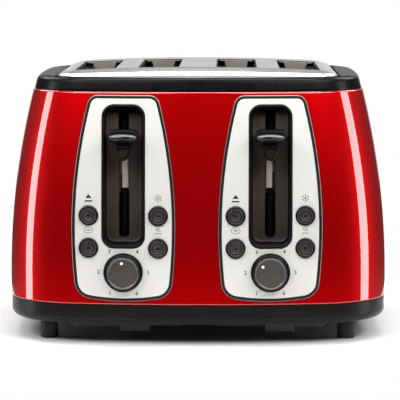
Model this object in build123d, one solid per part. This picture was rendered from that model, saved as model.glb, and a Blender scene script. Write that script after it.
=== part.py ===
from build123d import *
from math import sin, cos, radians, sqrt
import os

os.makedirs("parts", exist_ok=True)

# ---------------------------------------------------------------- driving dimensions (mm)
# Body: bulged rounded rectangle in plan, walls leaning in towards the top.
HALF_W = 153.4          # half width at the widest
HALF_D = 136.0          # half depth at the middle of the front
FRONT_BULGE = 17.7      # sagitta of the front and back
SIDE_BULGE = 4.0        # sagitta of the sides
CORNER_R = 66.0         # plan corner radius at the base
LEAN = 0.00083          # inset of the side wall = LEAN * (z - LEAN_Z)^2
LEAN_Z = 50.0
LEAN_FRONT = 0.74       # the front leans in less than the sides
SHELL_T = 1.6           # wall of the outer shell, with its turned edge
SHELL_Z0, SHELL_Z1 = 32.2, 199.7
Y_SHIFT = -0.968         # body centre to the origin at the middle of the bounding box

# Top collar and top plate.
COLLAR_Z0, COLLAR_Z1, COLLAR_OFF = 200.0, 210.6, -0.8
COLLAR_SEAT = 204.5     # ledge that the plate stands on
PLATE_HW, PLATE_HD, PLATE_R = 113.0, 102.0, 24.0
PLATE_TOP = 218.0       # crown at the middle
PLATE_CROWN_R = 1960.0
PLATE_T = 1.2
PLATE_EDGE_R = 4.5
PLATE_GAP = 2.3         # groove between plate and collar

# Bread slots, running front to back.
SLOT_X = (31.15, 81.85)
SLOT_W = 30.9
SLOT_Y0, SLOT_L = -86.5, 143.5
SLOT_LIP_Z = 206.0

# Base, feet, trays.
BASE_Z0, BASE_Z1 = 16.0, 31.9
BASE_OFF, BASE_T, BASE_FLOOR_T = -0.5, 2.5, 3.0
FOOT_R, FOOT_X, FOOT_Y = 7.1, 119.7, 91.0
TRAY_HW, TRAY_Y0, TRAY_Y1 = 45.0, -99.0, 72.0
TRAY_Z0, TRAY_Z1, TRAY_T = 10.6, 15.4, 1.0
TRAY_TAB_HW, TRAY_TAB_DX = 12.0, 8.0

# Control modules: two alike, set straight back into the curved front.
MOD_X = 58.0
PANEL_TOP, PANEL_BOTTOM = 197.2, 34.9
PANEL_HW, PANEL_MID_Z, PANEL_SIDE_R, PANEL_FOOT_R = 41.1, 92.0, 401.0, 174.0
TRIM_W = 2.6
OFF_TRIM, OFF_PANEL, OFF_PANEL_BACK, OFF_BEZEL = 1.2, 0.9, -0.3, 1.5
WELL_HW, WELL_Z0, WELL_Z1, WELL_R, WELL_T = 17.1, 77.2, 189.9, 9.6, 2.0
WELL_BACK, WELL_BACK_T = 20.0, 1.5
SLIT_HW, SLIT_Z0, SLIT_Z1 = 3.8, 84.0, 186.6
LEVER_Z, LEVER_HW, LEVER_HH = 165.6, 11.9, 4.75
LEVER_FRONT = -6.5
BTN_DX, BTN_Z_HI, BTN_Z_LO, BTN_R = 27.5, 102.8, 77.3, 7.5
KNOB_Z, KNOB_R = 58.4, 15.5
KNOB_MARK_R = 8.0
KNOB_MARK_DEG = {"left": 97.0, "right": 138.0}
BOARD_Y, BOARD_T = 13.5, 1.6

# Lift gear and heating cell.
ROD_LY, ROD_R = 31.0, 2.5
CROSS_Y0, CROSS_Y1 = -98.6, -97.1
RACK_Z = 118.0
PLATE_F_Y0, PLATE_F_Y1 = -94.0, -92.8      # front chassis plate
PLATE_B_Y0, PLATE_B_Y1 = 66.0, 67.2        # rear chassis plate
CHASSIS_HW, CHASSIS_Z1 = 112.0, 199.0
GUARD_DX = 16.3         # guard wires stand just outside the slot edges
GUARD_IN, GUARD_OUT = 5.0, 1.2
CARD_X = (8.0, 56.5, 104.5)
CARD_T = 1.0

FLOOR_Z = BASE_Z0 + BASE_FLOOR_T


# ---------------------------------------------------------------- helpers
def lean(z):
    return LEAN * max(z - LEAN_Z, 0.0) ** 2


def section_at(z, off=0.0):
    """Plan outline of the body at height z, moved outwards by off."""
    t = lean(z)
    a = HALF_W + off - t
    b = HALF_D + off - LEAN_FRONT * t
    r = CORNER_R + off - 0.45 * t
    xc, yc = a - SIDE_BULGE, b - FRONT_BULGE
    wire = Wire([
        ThreePointArc((-xc, -yc), (0, -b), (xc, -yc)),
        ThreePointArc((xc, -yc), (a, 0), (xc, yc)),
        ThreePointArc((xc, yc), (0, b), (-xc, yc)),
        ThreePointArc((-xc, yc), (-a, 0), (-xc, -yc)),
    ])
    f = Face(wire)
    f = f.fillet_2d(r, f.vertices())
    return Pos(0, 0, z) * f


def box(x0, x1, y0, y1, z0, z1):
    x0, x1 = min(x0, x1), max(x0, x1)
    return Pos((x0 + x1) / 2, (y0 + y1) / 2, (z0 + z1) / 2) * Box(x1 - x0, y1 - y0, z1 - z0)


def body_loft(off, z0=30.0, z1=202.0):
    zs = [z0, 50.0, 80.0, 110.0, 140.0, 170.0, z1]
    return Solid.make_loft([section_at(z, off).outer_wire() for z in zs])


def cyl_z(x, y, r, z0, z1):
    return Pos(x, y, (z0 + z1) / 2) * Cylinder(r, z1 - z0)


def cyl_y(x, z, r, y0, y1):
    return Pos(x, (y0 + y1) / 2, z) * Rot(90, 0, 0) * Cylinder(r, y1 - y0)


def prism(face, y0, y1):
    """Outline given in (x, z), drawn out along y."""
    return extrude(Pos(0, y0, 0) * (Plane.XZ * face), amount=y1 - y0, dir=(0, 1, 0))


def turned(points):
    """Profile of (r, y) points turned about the y axis."""
    pts = [(r, y) for r, y in points]
    f = make_face(Polyline(*pts, close=True))
    return revolve(f, axis=Axis.Y, revolution_arc=360)


def rrect(hw, hd, r):
    return RectangleRounded(2 * hw, 2 * hd, r)


def front_arc_radius():
    xc = HALF_W - SIDE_BULGE
    return (xc * xc + FRONT_BULGE ** 2) / (2 * FRONT_BULGE)


Y_FACE = -HALF_D + front_arc_radius() - sqrt(front_arc_radius() ** 2 - MOD_X ** 2)


def place(s, shape):
    """Control-module frame (x across, y inwards, z up) to the body frame."""
    return Pos(s * MOD_X, Y_FACE, 0) * shape


def module_point(s, lx, ly):
    return (s * MOD_X + lx, Y_FACE + ly)


def save(name, shape):
    shape = Pos(0, Y_SHIFT, 0) * shape
    solids = shape.solids()
    out = solids[0] if len(solids) == 1 else Compound(children=list(solids))
    export_step(out, "parts/" + name + ".step")


SIDES = {"left": -1, "right": 1}
FRONT_HALF = box(-170, 170, -170, -70, 20, 215)

# ---------------------------------------------------------------- outlines of the control modules
def panel_outline(d):
    """Outline of a control module, moved inwards by d: bowed sides, bowed foot, flat top."""
    rs, rb = PANEL_SIDE_R - d, PANEL_FOOT_R - d
    sx, sz = PANEL_HW - PANEL_SIDE_R, PANEL_MID_Z
    bx, bz = 0.0, PANEL_BOTTOM + PANEL_FOOT_R
    top = PANEL_TOP - d
    xt = sx + sqrt(rs * rs - (top - sz) ** 2)
    # corner where the side arc meets the foot arc
    z = PANEL_BOTTOM + 4.0
    for _ in range(60):
        x = sx + sqrt(rs * rs - (z - sz) ** 2)
        z = bz - sqrt(rb * rb - x * x)
    f = Face(Wire([
        ThreePointArc((-x, z), (0, PANEL_BOTTOM + d), (x, z)),
        ThreePointArc((x, z), (PANEL_HW - d, PANEL_MID_Z), (xt, top)),
        Line((xt, top), (-xt, top)),
        ThreePointArc((-xt, top), (-PANEL_HW + d, PANEL_MID_Z), (-x, z)),
    ]))
    f = f.fillet_2d(8.5 - d, [v for v in f.vertices() if v.Y > 150])
    return f.fillet_2d(14.0 - d, [v for v in f.vertices() if v.Y < z + 0.01])


cut_outline = panel_outline(0.0)
trim_out, trim_in = panel_outline(0.1), panel_outline(TRIM_W - 0.1)
plate_outline = panel_outline(TRIM_W)
well_mid = (WELL_Z0 + WELL_Z1) / 2
well_hh = (WELL_Z1 - WELL_Z0) / 2
well_out = Pos(0, well_mid) * rrect(WELL_HW, well_hh, WELL_R)
well_in = Pos(0, well_mid) * rrect(WELL_HW - WELL_T, well_hh - WELL_T, WELL_R - WELL_T)
well_hole = Pos(0, well_mid) * rrect(WELL_HW + 0.1, well_hh + 0.1, WELL_R + 0.1)

# ---------------------------------------------------------------- outer shell
body = {off: body_loft(off) for off in (0.0, -SHELL_T)}
face_of = {off: body_loft(off) & FRONT_HALF
           for off in (OFF_TRIM, OFF_PANEL, OFF_PANEL_BACK, OFF_BEZEL)}
face_of[-SHELL_T] = body[-SHELL_T] & FRONT_HALF

shell = body[0.0] & box(-200, 200, -200, 200, SHELL_Z0, SHELL_Z1)
rim = [e for e in shell.edges()
       if e.bounding_box().min.Z > SHELL_Z1 - 0.01 or e.bounding_box().max.Z < SHELL_Z0 + 0.01]
shell = fillet(rim, 1.1) - body[-SHELL_T]
for s in SIDES.values():
    shell = shell - place(s, prism(cut_outline, -40, 60))
save("outer_shell", shell)

# ---------------------------------------------------------------- top collar and plate
collar = Solid.make_loft([section_at(z, COLLAR_OFF).outer_wire() for z in (COLLAR_Z0, 203.5, 207.0, COLLAR_Z1)])
top_edges = [e for e in collar.edges() if e.bounding_box().min.Z > COLLAR_Z1 - 0.01]
collar = fillet(top_edges, 3.2)
upper = extrude(Pos(0, 0, COLLAR_SEAT) * rrect(PLATE_HW + PLATE_GAP, PLATE_HD + PLATE_GAP, PLATE_R + PLATE_GAP), amount=20)
lower = extrude(Pos(0, 0, 190) * rrect(PLATE_HW - 6, PLATE_HD - 6, PLATE_R - 6), amount=40)
collar = collar - upper - lower
in_edges = [e for e in collar.edges()
            if e.bounding_box().min.Z > COLLAR_Z1 - 0.01 and abs(e.center().X) < 118 and abs(e.center().Y) < 107]
collar = fillet(in_edges, 1.2)
save("top_collar", collar)


def crowned(hw, hd, r, z0, drop, edge_r):
    block = extrude(Pos(0, 0, z0) * rrect(hw, hd, r), amount=40)
    crown = Pos(0, 0, PLATE_TOP - PLATE_CROWN_R) * Rot(90, 0, 0) * Cylinder(PLATE_CROWN_R - drop, 400)
    block = block & crown
    edges = [e for e in block.edges() if e.bounding_box().min.Z > 210]
    return fillet(edges, edge_r)


plate = crowned(PLATE_HW, PLATE_HD, PLATE_R, COLLAR_SEAT + 0.1, 0.0, PLATE_EDGE_R)
plate = plate - crowned(PLATE_HW - PLATE_T, PLATE_HD - PLATE_T, PLATE_R - PLATE_T, 190, PLATE_T, PLATE_EDGE_R - PLATE_T)
slot_yc = SLOT_Y0 + SLOT_L / 2
for x in (-SLOT_X[1], -SLOT_X[0], SLOT_X[0], SLOT_X[1]):
    tube = extrude(Pos(x, slot_yc, SLOT_LIP_Z) * rrect(SLOT_W / 2 + 1.0, SLOT_L / 2 + 1.0, 4.0), amount=PLATE_TOP + 2.0 - SLOT_LIP_Z)
    tube = tube & (Pos(0, 0, PLATE_TOP - PLATE_CROWN_R) * Rot(90, 0, 0) * Cylinder(PLATE_CROWN_R - 0.4, 400))
    plate = plate + tube
for x in (-SLOT_X[1], -SLOT_X[0], SLOT_X[0], SLOT_X[1]):
    plate = plate - extrude(Pos(x, slot_yc, 195) * rrect(SLOT_W / 2, SLOT_L / 2, 3.0), amount=40)
save("top_plate", plate)

# ---------------------------------------------------------------- base, feet, rails, trays
base = extrude(section_at(BASE_Z0, BASE_OFF), amount=BASE_Z1 - BASE_Z0)
base = fillet([e for e in base.edges() if e.bounding_box().max.Z < BASE_Z0 + 0.01], 6.0)
base = base - extrude(section_at(FLOOR_Z, BASE_OFF - BASE_T), amount=40)
# the floor is a flat plate let into the moulded skirt, with a window over each crumb tray
floor_edge = make_face(Polyline((-98, -112), (98, -112), (135, -50), (135, 50), (98, 112), (-98, 112), (-135, 50), (-135, -50), close=True)).face()
floor_plate = extrude(Pos(0, 0, BASE_Z0) * floor_edge, amount=FLOOR_Z - BASE_Z0)
base = base - extrude(Pos(0, 0, BASE_Z0 - 5) * floor_edge, amount=FLOOR_Z - BASE_Z0 + 5)
for s in SIDES.values():
    floor_plate = floor_plate - box(s * MOD_X - 42, s * MOD_X + 42, -80, 64, 0, 40)
foot_at = [(x, y) for x in (-FOOT_X, FOOT_X) for y in (-FOOT_Y, FOOT_Y)]
for x, y in foot_at:
    base = base - cyl_z(x, y, 3.1, 0, 40)
SCREW_AT = [(x, y) for x in (-108.5, 0.0, 108.5) for y in (-87.5, 72.5)]
for x, y in SCREW_AT:
    floor_plate = floor_plate - cyl_z(x, y, 1.7, 0, 40)
GLAND_Z = 25.4
base = base - cyl_y(0, GLAND_Z, 5.2, 120, 150)
save("base_pan", Compound(children=[base.solid(), floor_plate.solid()]))

feet = []
for x, y in foot_at:
    f = cyl_z(x, y, FOOT_R, 0, BASE_Z0)
    f = fillet([e for e in f.edges() if e.bounding_box().max.Z < 0.01], 1.5)
    feet.append(f + cyl_z(x, y, 3.0, BASE_Z0 - 1, FLOOR_Z))
save("feet", Compound(children=[f.solid() for f in feet]))

rails = []
for s in SIDES.values():
    for k in (-1, 1):
        xo, xi, xl = s * MOD_X + k * (TRAY_HW + 2.0), s * MOD_X + k * (TRAY_HW + 0.5), s * MOD_X + k * (TRAY_HW - 3.0)
        rails.append(box(xo, xi, -94, 72, 9.0, BASE_Z0) + box(xo, xl, -94, 72, 9.0, TRAY_Z0 - 0.3))
save("tray_rails", Compound(children=[r.solid() for r in rails]))

for side, s in SIDES.items():
    xc = s * MOD_X
    tray = box(xc - TRAY_HW, xc + TRAY_HW, TRAY_Y0, TRAY_Y1, TRAY_Z0, TRAY_Z1)
    tray = tray - box(xc - TRAY_HW + TRAY_T, xc + TRAY_HW - TRAY_T, TRAY_Y0 + TRAY_T, TRAY_Y1 - TRAY_T, TRAY_Z0 + TRAY_T, 30)
    xt_c = xc + TRAY_TAB_DX
    tab = box(xt_c - TRAY_TAB_HW, xt_c + TRAY_TAB_HW, TRAY_Y0 - 3.0, TRAY_Y0, 5.7, 13.2)
    tab = fillet([e for e in tab.edges() if e.center().Y < TRAY_Y0 - 2.5], 1.2)
    save("crumb_tray_" + side, tray + tab)

# ---------------------------------------------------------------- control modules
BTN_AT = {
    "cancel": (-BTN_DX, BTN_Z_HI),
    "frozen": (BTN_DX, BTN_Z_HI),
    "bagel": (-BTN_DX, BTN_Z_LO),
    "reheat": (BTN_DX, BTN_Z_LO),
}


def face_y(s, lx, z):
    """Depth of the body's face in the module frame."""
    r = front_arc_radius()
    return LEAN_FRONT * lean(z) + sqrt(r * r - MOD_X ** 2) - sqrt(r * r - (s * MOD_X + lx) ** 2)


for side, s in SIDES.items():
    # dark border moulding
    ring = place(s, prism(trim_out, -40, 60) - prism(trim_in, -41, 61))
    trim = (ring & face_of[OFF_TRIM]) - face_of[-SHELL_T]
    save("panel_trim_" + side, trim)

    # steel control plate
    blank = prism(plate_outline, -40, 60) - prism(well_hole, -41, 61)
    for lx, z in BTN_AT.values():
        blank = blank - cyl_y(lx, z, BTN_R + 0.35, -41, 61)
    blank = blank - cyl_y(0, KNOB_Z, 4.0, -41, 61)
    panel = (place(s, blank) & face_of[OFF_PANEL]) - face_of[OFF_PANEL_BACK]
    save("control_panel_" + side, panel)

    # recessed lever well
    well = prism(well_out, -40, WELL_BACK + WELL_BACK_T) - prism(well_in, -41, WELL_BACK)
    slit = Pos(0, (SLIT_Z0 + SLIT_Z1) / 2) * rrect(SLIT_HW, (SLIT_Z1 - SLIT_Z0) / 2, 3.2)
    well = well - prism(slit, 0, 60)
    for k in (-1, 1):
        well = well + box(k * (WELL_HW - 1.0), k * 22.0, BOARD_Y + BOARD_T, BOARD_Y + BOARD_T + 2.0, 88, 92)
    well = place(s, well) & face_of[OFF_BEZEL]
    save("lever_well_" + side, well)

    # lever grip: cross bar, shield below it, stem through the slit
    bar = prism(Pos(0, LEVER_Z) * rrect(LEVER_HW, LEVER_HH, 4.6), LEVER_FRONT, 16.0)
    bar = fillet([e for e in bar.edges() if e.bounding_box().max.Y < LEVER_FRONT + 0.01], 2.4)
    sh = make_face(Polyline((-6.4, 162.5), (-6.4, 156), (-3.6, 146.4), (3.6, 146.4), (6.4, 156), (6.4, 162.5), close=True)).face()
    sh = sh.fillet_2d(3.2, [v for v in sh.vertices() if v.Y < 157])
    shield = prism(sh, -1.5, 15.0)
    shield = fillet([e for e in shield.edges() if e.bounding_box().max.Y < -1.49 and e.center().Z < 161.5], 1.5)
    stem = box(-2.7, 2.7, 14.0, 23.9, 150, 165)
    save("lever_knob_" + side, place(s, bar + shield + stem))

    # push buttons
    for name, (lx, z) in BTN_AT.items():
        yp = face_y(s, lx, z)
        f = yp - OFF_PANEL - 2.0
        b = yp + 1.9
        btn = turned([
            (0, f + 0.5), (3.0, f + 0.5), (3.5, f + 0.15), (4.6, f + 0.15), (5.0, f + 0.45), (5.5, f + 0.45),
            (5.9, f), (6.7, f), (7.25, f + 0.25), (BTN_R, f + 0.8), (BTN_R, b), (8.6, b), (8.6, b + 1.0),
            (2.4, b + 1.0), (2.4, 7.5), (1.5, 7.5), (1.5, 9.8), (0, 9.8)])
        save(name + "_button_" + side, place(s, Pos(lx, 0, z) * btn))

    # browning knob, pointer dot, spindle and control body
    knob = turned([
        (3.05, -2.5), (KNOB_R, -2.5), (KNOB_R, -3.8), (15.1, -4.3), (13.7, -4.7), (13.4, -5.2), (12.95, -9.5),
        (12.6, -10.2), (11.9, -10.7), (11.2, -10.6), (10.6, -10.1), (0, -10.5), (0, -6.4), (3.05, -6.4)])
    ma = radians(KNOB_MARK_DEG[side])
    mx, mz = KNOB_MARK_R * cos(ma), KNOB_MARK_R * sin(ma)
    knob = knob - cyl_y(mx, mz, 1.25, -20, -9.6)
    save("browning_knob_" + side, place(s, Pos(0, 0, KNOB_Z) * knob))
    save("knob_marker_" + side, place(s, Pos(0, 0, KNOB_Z) * cyl_y(mx, mz, 1.2, -10.4, -9.6)))
    save("browning_shaft_" + side, place(s, Pos(0, 0, KNOB_Z) * cyl_y(0, 0, 3.0, -6.4, 11.0)))
    pot = cyl_y(0, 0, 8.5, 4.6, BOARD_Y) - cyl_y(0, 0, 3.1, 0, 12.0)
    save("browning_pot_" + side, place(s, Pos(0, 0, KNOB_Z) * pot))

    # control board with its larger components, and the switches
    board = box(-36, 36, BOARD_Y, BOARD_Y + BOARD_T, 42, 114) - box(-18.6, 18.6, 0, 40, 75.5, 130)
    back = BOARD_Y + BOARD_T
    items = [board, box(-34, -19, back, back + 7, 46, 60), cyl_y(27, 52, 5.0, back, back + 9),
             box(8, 20, back, back + 2, 62, 70), box(-33, -23, back, back + 2, 96, 110)]
    save("control_board_" + side, Compound(children=[place(s, i).solid() for i in items]))
    sw = []
    for lx, z in BTN_AT.values():
        sw.append(box(lx - 3.1, lx + 3.1, 9.3, BOARD_Y, z - 3.1, z + 3.1) - cyl_y(lx, z, 1.8, 0, 12.2))
    save("tact_switches_" + side, Compound(children=[place(s, i).solid() for i in sw]))

    # carriage on its rod
    rx, ry = module_point(s, 0, ROD_LY)
    xa, xi = s * SLOT_X[1], s * SLOT_X[0]
    off = -s * 0.9
    car = cyl_z(rx, ry, 5.0, 135, 161)
    car = car + box(min(xa, xi) - 3, max(xa, xi) + 3, CROSS_Y0, CROSS_Y1, RACK_Z, 140)
    for x in (xa, xi):
        car = car + box(x - 1.5, x + 1.5, CROSS_Y1 - 0.5, -86.5, RACK_Z, RACK_Z + 8)
    car = car + place(s, box(off - 2.4, off + 2.4, 24.0, 25.5, 123, 166))
    car = car + place(s, box(-1.5, 1.5, 25.0, 29.0, 138, 160))
    xs, xm = rx - 14.0, rx + 15.0
    car = car + box(xs - 4, xs + 4, -106.5, CROSS_Y0 + 0.5, 137, 140)
    car = car + box(xm - 8, xm + 8, CROSS_Y0, CROSS_Y1, 112, RACK_Z + 2)
    car = car + box(xm - 8, xm + 8, -106.0, CROSS_Y0 + 0.5, 112, 113.5)
    car = car - cyl_z(rx, ry, ROD_R + 0.08, 100, 200)
    save("carriage_" + side, car)

    # bread racks: toothed bars fixed to the carriage arms
    racks = []
    for x in (xa, xi):
        bar = box(x - 6, x + 6, -86.5, 55.0, RACK_Z, RACK_Z + 1.5) + box(x - 0.75, x + 0.75, -86.5, 55.0, RACK_Z, RACK_Z + 4.0)
        for k in range(10):
            y = -78 + 14.0 * k
            bar = bar + box(x - 6, x - 4.8, y - 2, y + 2, RACK_Z, RACK_Z + 4.5) + box(x + 4.8, x + 6, y - 2, y + 2, RACK_Z, RACK_Z + 4.5)
        racks.append(bar.solid())
    save("bread_racks_" + side, Compound(children=racks))

    save("guide_rod_" + side, cyl_z(rx, ry, ROD_R, FLOOR_Z, 197.5))

    # lift spring between the carriage lug and the top bracket
    coil_r, wire_r, z0, z1, turns = 3.3, 0.6, 141.0, 193.0, 16
    path = Pos(xs, ry, z0) * Helix(pitch=(z1 - z0) / turns, height=z1 - z0, radius=coil_r)
    prof = Plane(origin=path @ 0, z_dir=path % 0) * Circle(wire_r)
    spring = sweep(prof, path=path, is_frenet=True)
    save("lift_spring_" + side, spring)

    # holding magnet under the armature
    mag = box(xm - 7, xm + 7, -106.0, -97.0, FLOOR_Z, 30) + box(xm - 7, xm - 4.6, -105.0, -98.0, 29, 51.4)
    mag = mag + box(xm + 4.6, xm + 7, -105.0, -98.0, 29, 51.4) + cyl_z(xm, -101.5, 4.0, 29, 48)
    save("electromagnet_" + side, mag)

    # heaters
    cards, ribbons = [], []
    for i, cx in enumerate(CARD_X):
        x = s * cx
        cards.append(box(x - CARD_T / 2, x + CARD_T / 2, PLATE_F_Y1, PLATE_B_Y0, 50, 188).solid())
        faces = {0: (s,), 1: (-1, 1), 2: (-s,)}[i]
        for fside in faces:
            for k in range(10):
                z = 62 + 12.6 * k
                ribbons.append(box(x + fside * CARD_T / 2, x + fside * (CARD_T / 2 + 0.3), -74, 48, z - 1.1, z + 1.1).solid())
    save("mica_cards_" + side, Compound(children=cards))
    save("heating_ribbon_" + side, Compound(children=ribbons))

    # wire guards beside the bread, in two sets that close towards each other
    for tag, k in (("a", -1), ("b", 1)):
        frames = []
        for c in sorted((xa, xi)):
            x = c + k * GUARD_DX
            g = cyl_y(x, 47, 0.9, -95.4, 68.6) + cyl_y(x, 192, 0.9, -95.4, 68.6)
            for i in range(9):
                g = g + cyl_z(x, -82 + 17.0 * i, 0.8, 47, 203)
            frames.append(g.solid())
        save("guards_" + side + "_" + tag, Compound(children=frames))

# ---------------------------------------------------------------- inner frame
front = box(-CHASSIS_HW, CHASSIS_HW, PLATE_F_Y0, PLATE_F_Y1, FLOOR_Z, CHASSIS_Z1)
front = front + box(-CHASSIS_HW, CHASSIS_HW, PLATE_F_Y0, -82, FLOOR_Z, FLOOR_Z + 1.2)
rear = box(-CHASSIS_HW, CHASSIS_HW, PLATE_B_Y0, PLATE_B_Y1, FLOOR_Z, CHASSIS_Z1)
rear = rear + box(-CHASSIS_HW, CHASSIS_HW, PLATE_B_Y0, 78, FLOOR_Z, FLOOR_Z + 1.2)
for s in SIDES.values():
    rx, ry = module_point(s, 0, ROD_LY)
    front = front + box(rx - 20, rx + 8, -108, PLATE_F_Y1, 194, 196)
    front = front - cyl_z(rx, ry, ROD_R + 0.05, 150, 220)
    for x in SLOT_X:
        front = front - box(s * x - 3, s * x + 3, -100, -90, 54, 144)
    for x in SLOT_X:
        for k in (-1, 1):
            w = s * x + k * GUARD_DX
            ends = (w - k * (GUARD_IN + 1.5), w + k * (GUARD_OUT + 1.5))
            for z in (47, 192):
                front = front - box(min(ends), max(ends), -97, -90, z - 1.5, z + 1.5)
                rear = rear - box(min(ends), max(ends), 60, 70, z - 1.5, z + 1.5)
for x, y in SCREW_AT:
    front = front - cyl_z(x, y, 1.55, 10, 25)
    rear = rear - cyl_z(x, y, 1.55, 10, 25)
save("front_chassis_plate", front)
save("rear_chassis_plate", rear)

refl = []
for x in (109.0, 4.0):
    for s in SIDES.values():
        refl.append(box(s * x, s * (x + 1.0), PLATE_F_Y1, PLATE_B_Y0, 30, 197).solid())
save("reflectors", Compound(children=refl))

screws = []
for x, y in SCREW_AT:
    head = cyl_z(x, y, 3.0, BASE_Z0 - 2.0, BASE_Z0)
    head = fillet([e for e in head.edges() if e.bounding_box().max.Z < BASE_Z0 - 1.9], 0.8)
    sc = head + cyl_z(x, y, 1.5, BASE_Z0 - 1, FLOOR_Z + 4)
    sc = sc - box(x - 2.0, x + 2.0, y - 0.4, y + 0.4, BASE_Z0 - 3, BASE_Z0 - 1.2) - box(x - 0.4, x + 0.4, y - 2.0, y + 2.0, BASE_Z0 - 3, BASE_Z0 - 1.2)
    screws.append(sc.solid())
save("base_screws", Compound(children=screws))

gland = turned([
    (3.3, 127.0), (5.0, 127.0), (5.0, 135.62), (6.2, 135.62), (6.2, 138.2), (5.6, 139.0), (4.6, 145.5), (4.2, 146.0), (3.3, 146.0)])
save("cord_gland", Pos(0, 0, GLAND_Z) * gland)

term = box(24, 56, 94, 108, FLOOR_Z, FLOOR_Z + 13)
for x in (30, 40, 50):
    term = term - cyl_z(x, 101, 2.2, FLOOR_Z + 6, 60)
save("terminal_block", term)
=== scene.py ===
import math
import bpy
import numpy as np
from mathutils import Matrix, Vector
from mathutils.geometry import delaunay_2d_cdt


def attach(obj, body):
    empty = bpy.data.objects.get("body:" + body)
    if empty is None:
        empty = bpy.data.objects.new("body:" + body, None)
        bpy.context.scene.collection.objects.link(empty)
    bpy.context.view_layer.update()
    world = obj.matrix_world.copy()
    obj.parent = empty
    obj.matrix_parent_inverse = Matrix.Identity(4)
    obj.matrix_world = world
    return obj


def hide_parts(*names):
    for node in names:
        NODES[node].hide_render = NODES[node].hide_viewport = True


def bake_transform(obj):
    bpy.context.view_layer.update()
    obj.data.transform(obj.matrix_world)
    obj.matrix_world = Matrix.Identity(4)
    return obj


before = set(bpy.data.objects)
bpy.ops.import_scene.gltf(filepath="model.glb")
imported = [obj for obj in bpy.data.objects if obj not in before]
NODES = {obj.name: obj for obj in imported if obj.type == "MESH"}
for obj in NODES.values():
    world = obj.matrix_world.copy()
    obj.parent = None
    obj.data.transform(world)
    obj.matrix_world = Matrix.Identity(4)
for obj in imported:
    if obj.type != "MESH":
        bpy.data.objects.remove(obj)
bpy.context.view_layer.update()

MM = 0.001

# ------------------------------------------------------------------ dimensions shared with the solid model (mm)
HALF_W, HALF_D, FRONT_BULGE, SIDE_BULGE, CORNER_R = 153.4, 136.0, 17.7, 4.0, 66.0
LEAN, LEAN_Z, LEAN_FRONT = 0.00083, 50.0, 0.74
SHELL_T, SHELL_Z0, SHELL_Z1, SHELL_EDGE = 1.6, 32.2, 199.7, 1.1
Y_SHIFT = -0.968
COLLAR_Z0, COLLAR_Z1, COLLAR_SEAT, COLLAR_OFF = 200.0, 210.6, 204.5, -0.8
PLATE_HW, PLATE_HD, PLATE_R = 113.0, 102.0, 24.0
PLATE_TOP, PLATE_CROWN_R, PLATE_T, PLATE_EDGE_R, PLATE_GAP = 218.0, 1960.0, 1.2, 4.5, 2.3
SLOT_X, SLOT_W, SLOT_Y0, SLOT_L, SLOT_LIP_Z = (31.15, 81.85), 30.9, -86.5, 143.5, 206.0
SLOT_TAB_HW, SLOT_RELIEF = 8.0, 9.0
MOD_X = 58.0
PANEL_TOP, PANEL_BOTTOM, PANEL_HW, PANEL_MID_Z, PANEL_SIDE_R, PANEL_FOOT_R = 197.2, 34.9, 41.1, 92.0, 401.0, 174.0
TRIM_W = 2.6
OFF_TRIM, OFF_PANEL, OFF_PANEL_BACK, OFF_BEZEL = 1.2, 0.9, -0.3, 1.5
WELL_HW, WELL_Z0, WELL_Z1, WELL_R, WELL_T, WELL_BACK, WELL_BACK_T = 17.1, 77.2, 189.9, 9.6, 2.0, 20.0, 1.5
SLIT_HW, SLIT_Z0, SLIT_Z1 = 3.8, 84.0, 183.6
LEVER_Z, LEVER_HW, LEVER_HH, LEVER_FRONT = 165.6, 11.9, 4.75, -6.5
BTN_DX, BTN_Z_HI, BTN_Z_LO, BTN_R = 27.5, 102.8, 77.3, 7.5
KNOB_Z, KNOB_R = 58.4, 15.5
SIDES = {"left": -1, "right": 1}
BTN_AT = {"cancel": (-BTN_DX, BTN_Z_HI), "frozen": (BTN_DX, BTN_Z_HI),
          "bagel": (-BTN_DX, BTN_Z_LO), "reheat": (BTN_DX, BTN_Z_LO)}


# ------------------------------------------------------------------ body surface
def lean(z):
    return LEAN * max(z - LEAN_Z, 0.0) ** 2


class Plan:
    """Plan outline of the body at a height, moved outwards by off."""
    cache = {}

    def __init__(self, z, off):
        t = lean(z)
        a = HALF_W + off - t
        b = HALF_D + off - LEAN_FRONT * t
        r = CORNER_R + off - 0.45 * t
        xc, yc = a - SIDE_BULGE, b - FRONT_BULGE
        self.a, self.b, self.r = a, b, r
        self.rf = (xc * xc + FRONT_BULGE ** 2) / (2 * FRONT_BULGE)
        self.rs = (yc * yc + SIDE_BULGE ** 2) / (2 * SIDE_BULGE)
        fy, sx = -b + self.rf, a - self.rs
        ra, rb = self.rf - r, self.rs - r
        # centre of the corner arc: where the two inner circles meet, x > 0, y < 0
        dx, dy = sx - 0.0, 0.0 - fy
        d = math.hypot(dx, dy)
        k = (ra * ra - rb * rb + d * d) / (2 * d)
        h = math.sqrt(max(ra * ra - k * k, 0.0))
        ux, uy = dx / d, dy / d
        best = None
        for sg in (-1, 1):
            px, py = 0.0 + k * ux - sg * h * uy, fy + k * uy + sg * h * ux
            if px > 0 and py < 0:
                best = (px, py)
        self.px, self.py = best
        self.fy, self.sx = fy, sx
        self.phi = math.atan2(self.px, fy - self.py)       # front arc half angle
        self.psi = math.atan2(-self.py, self.px - sx)      # side arc half angle

    def quarter(self, seg, f):
        if seg == "F":
            t = f * self.phi
            return self.rf * math.sin(t), self.fy - self.rf * math.cos(t)
        if seg == "C":
            t = self.phi + f * (math.pi / 2 - self.psi - self.phi)
            return self.px + self.r * math.sin(t), self.py - self.r * math.cos(t)
        t = self.psi * (1 - f)
        return self.sx + self.rs * math.cos(t), -self.rs * math.sin(t)


def plan(z, off):
    key = (round(z, 5), round(off, 5))
    p = Plan.cache.get(key)
    if p is None:
        p = Plan.cache[key] = Plan(z, off)
    return p


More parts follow.
